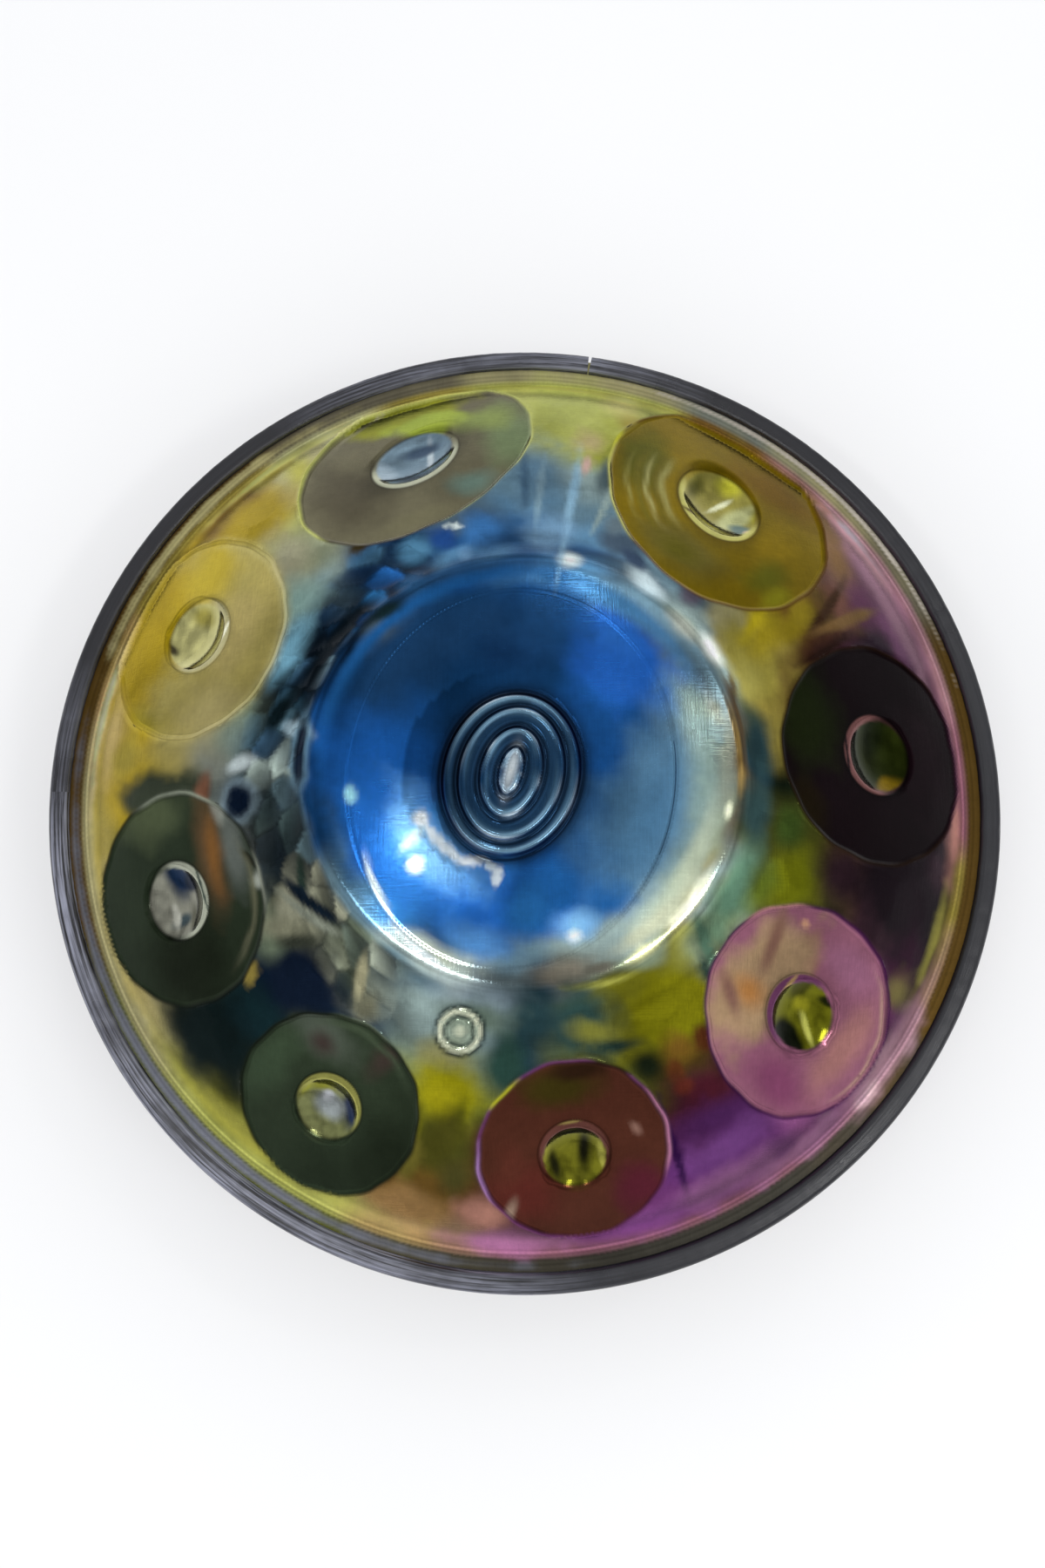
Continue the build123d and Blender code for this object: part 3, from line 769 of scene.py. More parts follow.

# Each field's face, edge line, dimple and the crescent above it: ground tint, then its patches.
# Heat tint and painted reflections together: the crescent and the edge line are painted highlight
# and shade round the dish and the field's rim, the near-white and near-black patches painted
# highlights and dark reflections
field_tints = [
    [("#5d574a", [
         ("#7b7a22", 108, 246, 40, 12, 0, 0.3), ("#8f9a3e", 104, 232, 26, 9, 6, 0.3),
         ("#69691a", 111, 249, 22, 6, 0, 0.5), ("#8d9468", 90, 190, 3, 14, 0, 0.5)]),
     ("#9a9a5c", [("#2c2518", 121, 156, 46, 24, 0, 0.3), ("#5c5a30", 95, 168, 22, 14, 0, 0.4)]),
     ("#7d95a4", [
         ("#2b3c4c", 99, 205, 12, 13, 0, 0.4), ("#c4d2d8", 106, 208, 2, 12, 12, 0.5),
         ("#223244", 110, 190, 12, 6, 0, 0.4), ("#a8bcc8", 115, 204, 9, 10, 0, 0.5),
         ("#dfe8e4", 102, 200, 1.8, 10, 20, 0.5), ("#46586c", 107, 216, 12, 4, 0, 0.5)]),
     ("#bcbfa4", [("#5c5c50", 106, 180, 12, 1.4, -8, 0.4)])],
    [("#7c600e", [
         ("#6b5a2e", 56, 156, 26, 14, 0, 0.6), ("#5a5212", 70, 205, 14, 24, 0, 0.6),
         ("#6e4c0c", 50, 236, 30, 12, 0, 0.7), ("#8c6c14", 44, 200, 10, 16, 0, 0.7),
         ("#b2aa1e", 76.5, 214, 3, 12, 0, 0.4)]),
     ("#52350f", [("#b5ac58", 72, 172, 26, 48, 0, 0.3), ("#b8b024", 77, 216, 8, 18, 0, 0.3)]),
     ("#8b8440", [
         ("#b9bc84", 52, 202, 6, 14, 20, 0.5), ("#5c7068", 50, 196, 6, 5, 0, 0.5),
         ("#d6d8b0", 55.5, 206, 1.6, 10, 20, 0.5), ("#a8a01c", 48, 212, 8, 8, 0, 0.5),
         ("#e8c8a0", 48.5, 196, 2.2, 2.2, 0, 0.6)]),
     ("#b2ae60", [("#4c3a10", 56, 186, 16, 1.4, -8, 0.5)])],
    [("#140c11", [
         ("#1b230f", 12, 156, 26, 18, 0, 0.6), ("#1c160c", -8, 150, 16, 12, 0, 0.6),
         ("#1d1018", 4, 232, 30, 14, 0, 0.7)]),
     ("#1f1208", [("#3a1c34", 2, 252, 40, 12, 0, 0.5)]),
     ("#2b330f", [
         ("#8f7410", -1, 206, 9, 8, 20, 0.3), ("#1c240c", 8, 200, 12, 7, 0, 0.5),
         ("#6e5a10", -4, 196, 7, 6, 0, 0.4)]),
     ("#8c5d5a", [("#1c0c14", 4, 178.5, 18, 0.9, 0, 0.5)])],
    [("#8b5b7c", [
         ("#8c6468", -33, 180, 16, 8, -20, 0.6), ("#a0727c", -40, 228, 26, 9, 0, 0.7),
         ("#7c4470", -50, 212, 12, 18, 0, 0.7), ("#c89a8c", -28, 168, 2.4, 3, 0, 0.6),
         ("#94648c", -30, 205, 10, 18, 0, 0.7)]),
     ("#3c164a", [
         ("#a9788c", -32, 152, 34, 14, 0, 0.4), ("#8c8430", -43, 148, 12, 8, 0, 0.4),
         ("#2a0c38", -56, 196, 16, 26, 0, 0.4)]),
     ("#78781a", [
         ("#12160a", -45, 200, 9, 13, 10, 0.3), ("#d8d868", -41, 206, 1.8, 12, 32, 0.5),
         ("#4c4c10", -37, 188, 8, 5, 0, 0.4), ("#a8a428", -39, 196, 4, 5, 0, 0.5),
         ("#20240c", -36, 206, 3, 6, -20, 0.4)]),
     ("#6a3a5c", [("#a88858", -38, 180, 6, 1.2, 0, 0.5)])],
    [("#4c2420", [
         ("#3a2c12", -84, 164, 18, 10, 0, 0.6), ("#2c1812", -80, 156, 14, 5, 0, 0.6),
         ("#5c2424", -90, 222, 16, 14, 0, 0.7), ("#521a2c", -74, 226, 14, 12, 0, 0.7)]),
     ("#5c2a5a", [
         ("#b0a028", -94, 166, 9, 9, 0, 0.4), ("#1c0c10", -74, 158, 14, 9, 0, 0.4),
         ("#b06c94", -69, 200, 8, 24, 0, 0.4), ("#9c6cb0", -97, 220, 8, 22, 0, 0.5)]),
     ("#8b8928", [
         ("#17170a", -77, 208, 2.2, 8, 0, 0.4), ("#c8c458", -78.5, 206, 1.6, 7, 0, 0.5),
         ("#b0ac3c", -87, 200, 3, 5, 0, 0.5), ("#1c1c0c", -82, 190, 12, 2, 0, 0.4)]),
     ("#6a4038", [("#a08c50", -83, 183, 8, 1.2, 0, 0.5)])],
    [("#222c1e", [
         ("#3b4438", -128, 172, 20, 9, 0, 0.7), ("#1a2216", -110, 214, 14, 24, 0, 0.7),
         ("#2c3a28", -132, 204, 10, 22, 0, 0.7)]),
     ("#10160e", [("#3c4634", -122, 150, 24, 8, 0, 0.5)]),
     ("#868a5a", [
         ("#1a2b4b", -117, 198, 9, 13, 0, 0.35), ("#98981c", -124, 192, 8, 9, 0, 0.4),
         ("#a8b0b0", -121, 208, 9, 6, 0, 0.5), ("#d8dce0", -122, 203, 2.4, 3, 0, 0.6),
         ("#b4b43c", -126, 202, 4, 8, 0, 0.5)]),
     ("#a5a356", [("#24281c", -119, 184.5, 16, 0.9, 4, 0.5)])],
    [("#1d2317", [
         ("#494b43", -166, 160, 22, 7, 0, 0.6), ("#6c6c60", -174, 166, 9, 4, -10, 0.5),
         ("#10120c", -163, 152, 6, 1.6, -25, 0.4), ("#7a7a6c", -158, 150, 4, 5, 0, 0.6),
         ("#15190f", -152, 206, 24, 24, 0, 0.6)]),
     ("#0f120c", [("#6c6c5c", -156, 142, 18, 10, 0, 0.5)]),
     ("#a3a393", [
         ("#1f395b", -165, 200, 12, 8, 0, 0.4), ("#4c5c60", -158, 206, 3, 6, 0, 0.5),
         ("#6c6c58", -157, 198, 9, 3, 10, 0.5), ("#16263c", -163, 193, 5, 6, 0, 0.4),
         ("#dcdccc", -159, 210, 6, 2, 0, 0.5)]),
     ("#b9bda9", [("#33443c", -161, 185.5, 14, 0.9, 0, 0.5)])],
    [("#99925f", [
         ("#97851b", 158, 238, 60, 22, 0, 0.5), ("#9c8f34", 146, 222, 20, 16, 0, 0.7),
         ("#a39a6e", 153, 184, 26, 14, 0, 0.7), ("#96906c", 168, 172, 16, 20, 0, 0.7),
         ("#8a8228", 172, 222, 12, 16, 0, 0.7)]),
     ("#a99d62", [("#7c6c28", 166, 240, 30, 14, 0, 0.5)]),
     ("#aaa66e", [
         ("#3c3826", 158.5, 222, 2.4, 5, 25, 0.5), ("#bfbb84", 162, 210, 8, 6, 0, 0.6),
         ("#8c8440", 152, 214, 6, 8, 0, 0.6)]),
     ("#a09a70", [("#4a3a24", 155, 194, 10, 1.1, 0, 0.4), ("#e4e0c4", 153, 191, 6, 1.1, 0, 0.5)])],
]

# Touches laid last, over a layer after its gain, the dark and bright streaks in the dimples among
# them painted reflections: (field, layer), then their patches
field_touches = {
    (0, 0): [
        ("#6f7e58", 92, 208, 16, 24, 0, 0.7), ("#7f8c4c", 96, 226, 16, 9, 0, 0.8),
        ("#5f7468", 100, 174, 12, 8, 0, 0.8), ("#4c4737", 121, 194, 20, 26, 0, 0.6),
        ("#66624a", 112, 158, 20, 6, 0, 0.6)],
    (1, 0): [
        ("#5c5618", 56, 153, 10, 7, 0, 0.9), ("#5e5c10", 40, 178, 9, 13, 10, 0.8),
        ("#7e7914", 36, 172, 5, 10, 0, 0.8)],
    (1, 2): [("#c8c43c", 56, 221, 7, 5, 0, 0.8), ("#4c4a18", 60.5, 207, 4, 9, 0, 0.8)],
    (3, 0): [
        ("#a08464", -41, 167, 36, 23, 0, 0.35), ("#a87440", -44, 164, 7, 9, 0, 0.9),
        ("#7c5a4c", -34, 158, 16, 3.5, -14, 0.8), ("#7a584c", -47, 157, 3.5, 12, 20, 0.8)],
    (4, 0): [
        ("#7c5c50", -72.5, 194, 1.8, 3.4, -20, 0.9), ("#8c7464", -92, 232, 2.6, 7, 20, 0.9),
        ("#52291f", -92, 206, 6, 10, 0, 0.9)],
    (4, 2): [("#15150a", -81, 203, 3.6, 13, 8, 0.7), ("#1c1c0c", -85.5, 209, 2.6, 8, -12, 0.7)],
    (5, 0): [("#38302a", -116, 166, 5, 10, 20, 0.9), ("#342c28", -127, 176, 7, 5, 0, 0.9)],
    (6, 0): [
        ("#3e4630", -175, 210, 14, 20, 0, 0.7), ("#54402a", -167, 175, 26, 7, 4, 0.9),
        ("#6c4a26", -166, 173, 16, 3.5, 6, 0.9)],
    (6, 1): [("#7e8474", -176, 186, 12, 26, 0, 0.4)],
}

# Gains of each field's face, edge line, dimple and crescent: red, green and blue, or one for all three
field_gains = [
    [(1.12, 1.17, 0.96), (1.30, 1.36, 1.12), 0.72, 0.80],
    [(0.83, 0.97, 0.64), (0.97, 1.05, 0.85), 1.00, 1.00],
    [(0.72, 0.68, 0.60), (0.85, 0.80, 0.70), 0.57, 0.60],
    [(1.03, 0.95, 0.74), (1.08, 1.00, 0.78), 0.62, 0.75],
    [(0.84, 1.04, 0.74), (0.98, 1.15, 0.95), 0.53, 0.70],
    [(1.35, 1.26, 1.35), (1.45, 1.35, 1.45), 0.60, 0.75],
    [(1.30, 1.40, 1.53), (1.40, 1.50, 1.65), 0.49, 0.65],
    [(1.23, 1.14, 0.83), (1.25, 1.16, 0.85), 1.10, 1.10],
]

# Painted light and dark arcs round a field's middle, the shading of pressed-in arcs that the mesh
# doesn't have: field, tint, share of the way out, angles and half width
field_arcs = [
    (1, "#908c54", 0.52, -150, -45, 0.030), (1, "#5c5418", 0.58, -150, -40, 0.030),
    (1, "#9c9860", 0.66, -140, -50, 0.022), (1, "#645c1c", 0.73, -145, -40, 0.030),
    (1, "#8c8648", 0.82, -130, -60, 0.020), (0, "#8f8a70", 0.90, 20, 120, 0.020),
    (3, "#b08c7c", 0.93, 60, 170, 0.020), (6, "#5c5c48", 0.88, -160, -60, 0.030),
    (7, "#b4a868", 0.93, -120, 60, 0.030), (5, "#3f4a38", 0.90, -150, -50, 0.030),
]


def linear(name):
    """A tint as linear red, green and blue."""
    code = tints.get(name, name).lstrip("#")
    value = np.array([int(code[k:k + 2], 16) for k in (0, 2, 4)]) / 255
    return np.where(value <= 0.04045, value / 12.92, ((value + 0.055) / 1.055) ** 2.4)


def dome_tints(x, y):
    """Tint of the steel at plan places, heat tint and painted reflections together, before any patches.
    """
    radii = np.array(sorted(tint_rings))
    table = np.array([[linear(name) for name in tint_rings[k].split()] for k in radii])
    r = np.hypot(x, y)
    warp = smooth(r, 40, 130)
    azimuth = np.degrees(np.arctan2(y, x)) + warp * 4.0 * ripple(x, y, 38.0, 11)
    r = r + warp * 4.0 * ripple(x, y, 30.0, 12) * fall(r, 235, 255)
    column = (azimuth / 15) % 24
    left = np.floor(column).astype(int) % 24
    across = smooth(column - np.floor(column), 0, 1)[:, None]
    row = np.interp(r, radii, np.arange(len(radii)))
    low = np.minimum(np.floor(row).astype(int), len(radii) - 2)
    up = smooth(row - low, 0, 1)[:, None]
    inner = table[low, left] * (1 - across) + table[low, (left + 1) % 24] * across
    outer = table[low + 1, left] * (1 - across) + table[low + 1, (left + 1) % 24] * across
    return inner * (1 - up) + outer * up


def mixed(ground, tint, share):
    """Ground tints with another tint over them."""
    return ground + (linear(tint) - ground) * share[:, None]


def lay_patches(x, y, ground, patches, raggedness):
    """Lays patches over ground tints, with edges that wander a little."""
    r = np.hypot(x, y)
    ragged = 1 + raggedness * (ripple(x, y, 26.0, 31) + 0.35 * ripple(x, y, 9.0, 32))
    for tint, azimuth, distance, half_round, half_across, lean, soft in patches:
        around = distance_round(x, y, azimuth, distance)
        u, v = turned(around, r - distance, lean)
        share = np.hypot(u / half_round, v / half_across) * ragged
        ground = mixed(ground, tint, fall(share, 1 - soft, 1 + soft))
    return ground


def lay_shades(x, y, ground):
    """Painted shade and light: darkens and lightens broad places of the dome."""
    r = np.hypot(x, y)
    for factor, azimuth, distance, half_round, half_across in dome_shades:
        around = distance_round(x, y, azimuth, distance)
        share = np.hypot(around / half_round, (r - distance) / half_across)
        ground = ground * (1 + (factor - 1) * fall(share, 0.3, 1.5))[:, None]
    return ground


def lay_marks(x, y, ground):
    """Gives each hammer mark of the band its own tint, with painted light and shade on it."""
    draw = np.random.default_rng(17)
    long_way, short_way = band_mark_sizes
    across = distance_round(x, y, band_middle, band_circle)
    up = np.hypot(x, y)
    own = np.empty((len(band_seeds), 3))
    tilt = draw.uniform(0.2, 2.4, len(band_seeds))
    for number, seed in enumerate(band_seeds):
        azimuth = np.degrees(seed[0] / band_circle) + band_middle
        palette = [names for start, names in mark_tints if start <= max(azimuth, 112)][-1]
        own[number] = linear(palette[draw.integers(len(palette))])
    strength = band_strength(x, y)
    on = np.nonzero(strength > 0.01)[0]
    for part in np.array_split(on, max(1, len(on) // 4000)):
        from_seed = across[part, None] - band_seeds[:, 0], up[part, None] - band_seeds[:, 1]
        u, v = turned(*from_seed, band_mark_lean)
        away = (u / long_way) ** 2 + (v / short_way) ** 2
        weight = np.exp(-4 * (away - away.min(1, keepdims=True)))
        weight /= weight.sum(1, keepdims=True)
        # painted light and shade: each mark lighter towards one side, and darker along the ridges between
        # marks
        roll = (weight * (u / long_way * np.cos(tilt) + v / short_way * np.sin(tilt))).sum(1)
        gap = np.partition(away, 1, axis=1)
        ridge = bell(gap[:, 1] - gap[:, 0], 0.42)
        shade = np.exp(roll) * (1 - 0.5 * ridge)
        colour_here = weight @ own * shade[:, None]
        ground[part] += (colour_here - ground[part]) * (0.85 * strength[part, None])
    return ground


def field_layers(number, x, y):
    """Tints of a field's face, edge line, dimple and crescent at plan places."""
    layers = []
    for layer, (ground, patches) in enumerate(field_tints[number]):
        laid = lay_patches(x, y, np.tile(linear(ground), (len(x), 1)), patches, field_raggedness)
        touches = field_touches.get((number, layer), [])
        layers.append(lay_patches(x, y, laid * field_gains[number][layer], touches, field_raggedness))
    return layers


def lay_arcs(number, x, y, share, angle, face):
    """Lays a field's painted light and dark arcs over its face, the shading of pressed-in arcs."""
    fade = 35  # degrees over which an arc comes and goes
    place = share + 0.012 * ripple(x, y, 20.0, 61)
    for field, tint, at, start, end, width in field_arcs:
        if field == number:
            reach = smooth(angle, start, start + fade) * fall(angle, end - fade, end)
            face = mixed(face, tint, 0.8 * reach * bell(place - at, width))
    return face


def paint_field(number, x, y, colours, gloss):
    """Lays one field's tints over the dome's, with painted highlight and shade round its dimple and rim.
    """
    points = np.column_stack([x, y, dome_height(np.hypot(x, y))])
    _, _, half_length, half_width, turn = tone_fields[number]
    u, v, above, share, edge = field_place(number, points)
    near = (edge < 9) & (above > -60)
    u, v, edge, x, y = u[near], v[near], edge[near], x[near], y[near]
    soft, line_share = (6.0, 0.12) if number == faded_field else (0.5, 0.85)
    face, line, bowl_tint, crescent = field_layers(number, x, y)
    angle = np.degrees(np.arctan2(v / half_width, u / half_length))
    face = lay_arcs(number, x, y, share[near], angle, face)
    dish, bowl = dimple_ovals(u, v, half_length, half_width, turn)
    drop = turned(u, v, turn)[1]
    # painted highlight: the crescent on the dish above the bowl
    rimmed = fall(dish, 0.95, 1.02) * (1 - 0.8 * smooth(drop, -6, 9))
    own = face + (crescent - face) * rimmed[:, None]
    own = own + (bowl_tint - own) * fall(bowl, 0.95, 1.03)[:, None]
    # painted shade: a dark line round the dish's edge
    own = own * (1 - 0.55 * bell(dish - 1.02, 0.035))[:, None]
    inside = fall(edge, -soft - 0.6, soft - 0.6)[:, None]
    some = colours[near] + (own - colours[near]) * inside
    # painted shade and light along the field's rim, its edge line
    outline = (bell(edge + 0.4, 1.1) * line_share)[:, None]
    colours[near] = some + (line - some) * outline
    mirror = 0.14 - 0.08 * fall(dish, 0.9, 1.05)
    gloss[near] += (mirror - gloss[near]) * inside[:, 0]


def paint_mound(x, y, colours, gloss):
    """Painted shade in the grooves and round the foot of the stepped mound, painted highlights on its
    lips and crown, and its left side painted darker.
    """
    near = np.hypot(x - centre_offset[0], y - centre_offset[1]) < 56
    px, py = x[near], y[near]
    u, v = mound_axes(px, py)
    some = colours[near]
    angle = np.arctan2(v, u)
    side = 0.40 + 0.42 * np.sin(2 * angle + 0.6)
    foot = oval(u, v, *mound_steps[0])[1]
    # painted shade round the mound's foot
    some = mixed(some, "#0c1c30", 0.75 * bell(np.maximum(foot, 0), 5.5))
    some = mixed(some, "#23405c", 0.9 * fall(foot, -3.5, -2.0))
    for number, (half_length, half_width) in enumerate(mound_steps):
        edge = oval(u, v, half_length, half_width)[1]
        dash = 0.5 + 0.5 * np.sin((3 + number) * angle + 1.7 * number)
        # painted shade in each groove, painted highlights on each lip, stronger on two opposite sides
        some = mixed(some, "#0a1422", 0.85 * bell(edge - 0.6, 1.3))
        some = mixed(some, "#86aec6", side * bell(edge + mound_flank + 0.8, 1.0))
        some = mixed(some, "#d4e6f0", side * dash**3 * bell(edge + 2.2, 0.9))
        some = mixed(some, "#4c7088", 0.4 * dash * bell(edge + 5.4, 1.0))
    # painted shade: the mound darker on its left
    some = some * (1 - 0.45 * smooth(centre_offset[0] - px, 2, 34))[:, None]
    # painted highlight along the crown
    colours[near] = mixed(some, "#dfeaee", np.exp(-((v / 2.4) ** 2 + (u / 10.0) ** 2)))
    gloss[near] += (0.09 - gloss[near]) * fall(foot, -1, 3)


def paint_boss(x, y, colours, gloss):
    """Painted shade at the boss's outline and in its groove, a painted highlight ring, and a pale centre.
    """
    away = from_place(x, y, boss_azimuth, boss_circle)
    colours[:] = mixed(colours, "#8d9a86", 0.8 * fall(away, boss_radius - 2, boss_radius))
    # painted shade at the foot and in the groove, and a painted highlight ring on the rounded edge
    rings = [("#1c2826", boss_radius + 0.5, 1.1), ("#20302c", boss_radius * boss_groove, 1.0),
             ("#dfe2c4", boss_radius * 0.84, 1.0)]
    for tint, ring, width in rings:
        colours[:] = mixed(colours, tint, 0.9 * bell(away - ring, width))
    colours[:] = mixed(colours, "#c8cfb4", 0.9 * fall(away, 1.5, 4.0))
    gloss += (0.10 - gloss) * fall(away, boss_radius, boss_radius + 2)


def playing_tints(x, y):
    """Colours and roughness of the playing side's outer face at plan places."""
    r = np.hypot(x, y)
    colours = lay_marks(x, y, dome_tints(x, y))
    colours = lay_shades(x, y, lay_patches(x, y, colours, dome_patches, dome_raggedness))
    gloss = 0.13 + 0.07 * fall(r, 92, 104) + 0.05 * smooth(r, 150, 220)
    gloss += 0.20 * smooth(r, 240, 250)
    # painted light: a brighter band just inside the flange root
    colours *= 1 + 0.9 * (smooth(r, 244, 250) * fall(r, 255.5, 257.5))[:, None]
    for number in range(len(tone_fields)):
        paint_field(number, x, y, colours, gloss)
    paint_mound(x, y, colours, gloss)
    paint_boss(x, y, colours, gloss)
    return np.clip(colours * steel_gain, 0, 0.95), gloss


# ---------------------------------------------------------------- meshes

def make_piece(name, vertices, faces):
    """A smooth mesh object from millimetre points, linked to the scene."""
    mesh = bpy.data.meshes.new(name)
    mesh.from_pydata((np.asarray(vertices) * MM).tolist(), [], [list(map(int, f)) for f in faces])
    mesh.validate()
    mesh.shade_smooth()
    piece = bpy.data.objects.new(name, mesh)
    bpy.context.scene.collection.objects.link(piece)
    return piece


def store(mesh, name, kind, values):
    """Keeps a value for each vertex on the mesh."""
    attribute = mesh.attributes.new(name, kind, "POINT")
    field = "color" if kind == "FLOAT_COLOR" else "value"
    attribute.data.foreach_set(field, np.asarray(values, np.float32).ravel())


def inner_allowance(x, y):
    """Extra depth of the coarser inner face where the outer face turns quickly: mound and root."""
    mound_share = fall(np.hypot(x - centre_offset[0], y - centre_offset[1]), 42, 50)
    r = np.hypot(x, y)
    root_share = smooth(r, 238, 244) * fall(r, 257.0, 259.5)
    return mound_allowance * mound_share + root_allowance * root_share


def playing_shell():
    """The playing side as a closed sheet: outer face, inner face and flange edge."""
    fine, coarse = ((1.0, 3.2))
    plan, outer_faces = triangulate(plan_points(fine))
    outer = playing_points(plan[:, 0], plan[:, 1])
    normals = playing_normals(plan[:, 0], plan[:, 1])
    under_plan, under_faces = triangulate(plan_points(coarse))
    under_normals = playing_normals(under_plan[:, 0], under_plan[:, 1])
    under = playing_points(under_plan[:, 0], under_plan[:, 1]) - under_normals * sheet
    under[:, 2] -= inner_allowance(under_plan[:, 0], under_plan[:, 1])
    count = len(outer)
    rim = np.arange(rim_count)
    after = (rim + 1) % rim_count
    edge_a = np.stack([rim, rim + count, after + count], 1)
    edge_b = np.stack([rim, after + count, after], 1)
    faces = np.concatenate([outer_faces, under_faces[:, ::-1] + count, edge_a, edge_b])
    piece = make_piece("playing_shell", np.concatenate([outer, under]), faces)
    mesh = piece.data
    mesh.normals_split_custom_set_from_vertices(np.concatenate([normals, -under_normals]).tolist())
    colours, gloss = playing_tints(plan[:, 0], plan[:, 1])
    under_colours = np.tile(linear("pewter"), (len(under), 1))
    both = np.concatenate([colours, under_colours])
    store(mesh, "tint", "FLOAT_COLOR", np.column_stack([both, np.ones(len(both))]))
    store(mesh, "gloss", "FLOAT", np.concatenate([gloss, np.full(len(under), 0.35)]))
    return piece


def loop_faces(starts, size):
    """Faces between closed loops of points that follow each other, from each loop's first point."""
    faces = []
    for here, there in zip(starts, starts[1:]):
        for j in range(size):
            j_next = (j + 1) % size
            faces.append((here + j, there + j, there + j_next, here + j_next))
    return faces


def revolve(name, loop, count):
    """A closed ring: a closed loop of (radius, height) points carried round the axis."""
    angles = np.arange(count) * tau / count
    loop = np.asarray(loop)
    points = np.stack([np.outer(np.cos(angles), loop[:, 0]), np.outer(np.sin(angles), loop[:, 0]),
                       np.tile(loop[:, 1], (count, 1))], 2).reshape(-1, 3)
    starts = [k * len(loop) for k in range(count)] + [0]
    return make_piece(name, points, loop_faces(starts, len(loop)))


def arc(centre, radius, start, end, count):
    """Points of an arc in the section plane, ends included."""
    angles = np.radians(np.linspace(start, end, count))
    return [(centre[0] + radius * cos(a), centre[1] + radius * sin(a)) for a in angles]


def resonator_shell():
    """The resonator side as a closed sheet: flange, bowl, flat ring and port."""
    port_radius, port_roll, neck_length = 49.0, 10.0, 24.0
    rest_radius, blend, root = 84.0, 40.0, 6.0
    edge_slope, rim_slope = 12.0, 57.0
    run = flange_root - root * sin(radians(rim_slope)) - blend * sin(radians(edge_slope)) - rest_radius
    bowl = run / (sin(radians(rim_slope)) - sin(radians(edge_slope)))
    flange = lower_flange - sheet
    root_centre = (flange_root, flange - root)
    bowl_r = flange_root - (root + bowl) * sin(radians(rim_slope))
    bowl_z = flange - root + (root + bowl) * cos(radians(rim_slope))
    outside = [(flange_radius, lower_flange), (flange_radius, flange)]
    outside += arc(root_centre, root, 90, 90 + rim_slope, 9)
    outside += arc((bowl_r, bowl_z), bowl, rim_slope - 90, edge_slope - 90, 60)[1:]
    outside += arc((rest_radius, blend), blend, edge_slope - 90, -90, 8)[1:]
    outside += arc((port_radius + port_roll, port_roll), port_roll, 270, 180, 12)
    outside += [(port_radius, neck_length - 0.4), (port_radius + 0.4, neck_length)]
    inside = [(port_radius + sheet - 0.4, neck_length), (port_radius + sheet, neck_length - 0.4)]
    inside += arc((port_radius + port_roll, port_roll), port_roll - sheet, 180, 270, 12)
    inside += arc((rest_radius, blend), blend - sheet, -90, edge_slope - 90, 8)
    inside += arc((bowl_r, bowl_z), bowl - sheet, edge_slope - 90, rim_slope - 90, 60)[1:]
    inside += arc(root_centre, root + sheet, 90 + rim_slope, 90, 9)[1:]
    return revolve("resonator_shell", (outside + inside)[::-1], 300)


def trim_loops():
    """Section of the trim: its outline, and the slot that its steel core fills."""
    lip, height, corner = 266.0, 9.2, 3.2
    wall, core_lip = 0.5, 268.0
    half, stack = height / 2, sheet + bond_gap / 2
    rubber = (trim_radius - flange_radius) / 4
    top, out = seam_height + half - corner, trim_radius - corner
    low, back = seam_height - half + corner, lip + corner
    outline = arc((out, low), corner, -90, 0, 7) + arc((out, top), corner, 0, 90, 7)
    outline += arc((back, top), corner, 90, 180, 7)
    outline += [(lip, seam_height + stack), (flange_radius, seam_height + stack)]
    outline += [(flange_radius, seam_height - stack), (lip, seam_height - stack)]
    outline += arc((back, low), corner, 180, 270, 7)
    core_out, core_half = flange_radius + rubber + wall, stack + rubber + wall
    slot = [(core_lip, core_half), (core_out, core_half), (core_out, -core_half),
            (core_lip, -core_half), (core_lip, wall - core_half), (core_out - wall, wall - core_half),
            (core_out - wall, core_half - wall), (core_lip, core_half - wall)]
    return outline, [(r, seam_height + z) for r, z in slot]


def edge_trim():
    """Rubber trim, open at its one butt seam, with its cut ends closed."""
    outline, slot = trim_loops()
    seam_azimuth, gap, mouth, lip = 81.5, 0.5, 2.4, 262.8
    mouth_radius = trim_radius + 3.2  # the seam opens outwards, and would be as wide as mouth here
    count = 720
    section = np.array(outline + slot)
    opening = (section[:, 0] - lip) / (mouth_radius - lip)
    half = (gap + (mouth - gap) * opening) / 2
    from_seam = half / section[:, 0]
    share = np.linspace(0, 1, count)[:, None]
    angles = radians(seam_azimuth) + from_seam + share * (tau - 2 * from_seam)
    radius = np.tile(section[:, 0], (count, 1))
    height = np.tile(section[:, 1], (count, 1))
    outer_skin = np.abs(section[:, 1] - seam_height) > 1.0
    swell = 0.10 * np.sin(angles * 37 + 1.3) + 0.07 * np.sin(angles * 101) + 0.05 * np.sin(angles * 173)
    shown = outer_skin & (np.arange(len(section)) < len(outline)) & (section[:, 0] < trim_radius - 0.2)
    radius = radius - np.abs(swell) * shown
    height = height - np.sign(section[:, 1] - seam_height) * np.abs(swell) * 0.8 * shown
    points = np.stack([radius * np.cos(angles), radius * np.sin(angles), height], 2).reshape(-1, 3)
    starts = [k * len(section) for k in range(count)]
    faces = loop_faces(starts, len(outline))
    faces += loop_faces([start + len(outline) for start in starts], len(slot))
    caps = tessellate_polygon([[Vector((*p, 0)) for p in outline], [Vector((*p, 0)) for p in slot]])
    last = starts[-1]
    faces += [tuple(cap) for cap in caps]
    faces += [tuple(last + corner for corner in cap[::-1]) for cap in caps]
    piece = make_piece("edge_trim_rubber", points, faces)
    settle_normals(piece)
    return piece


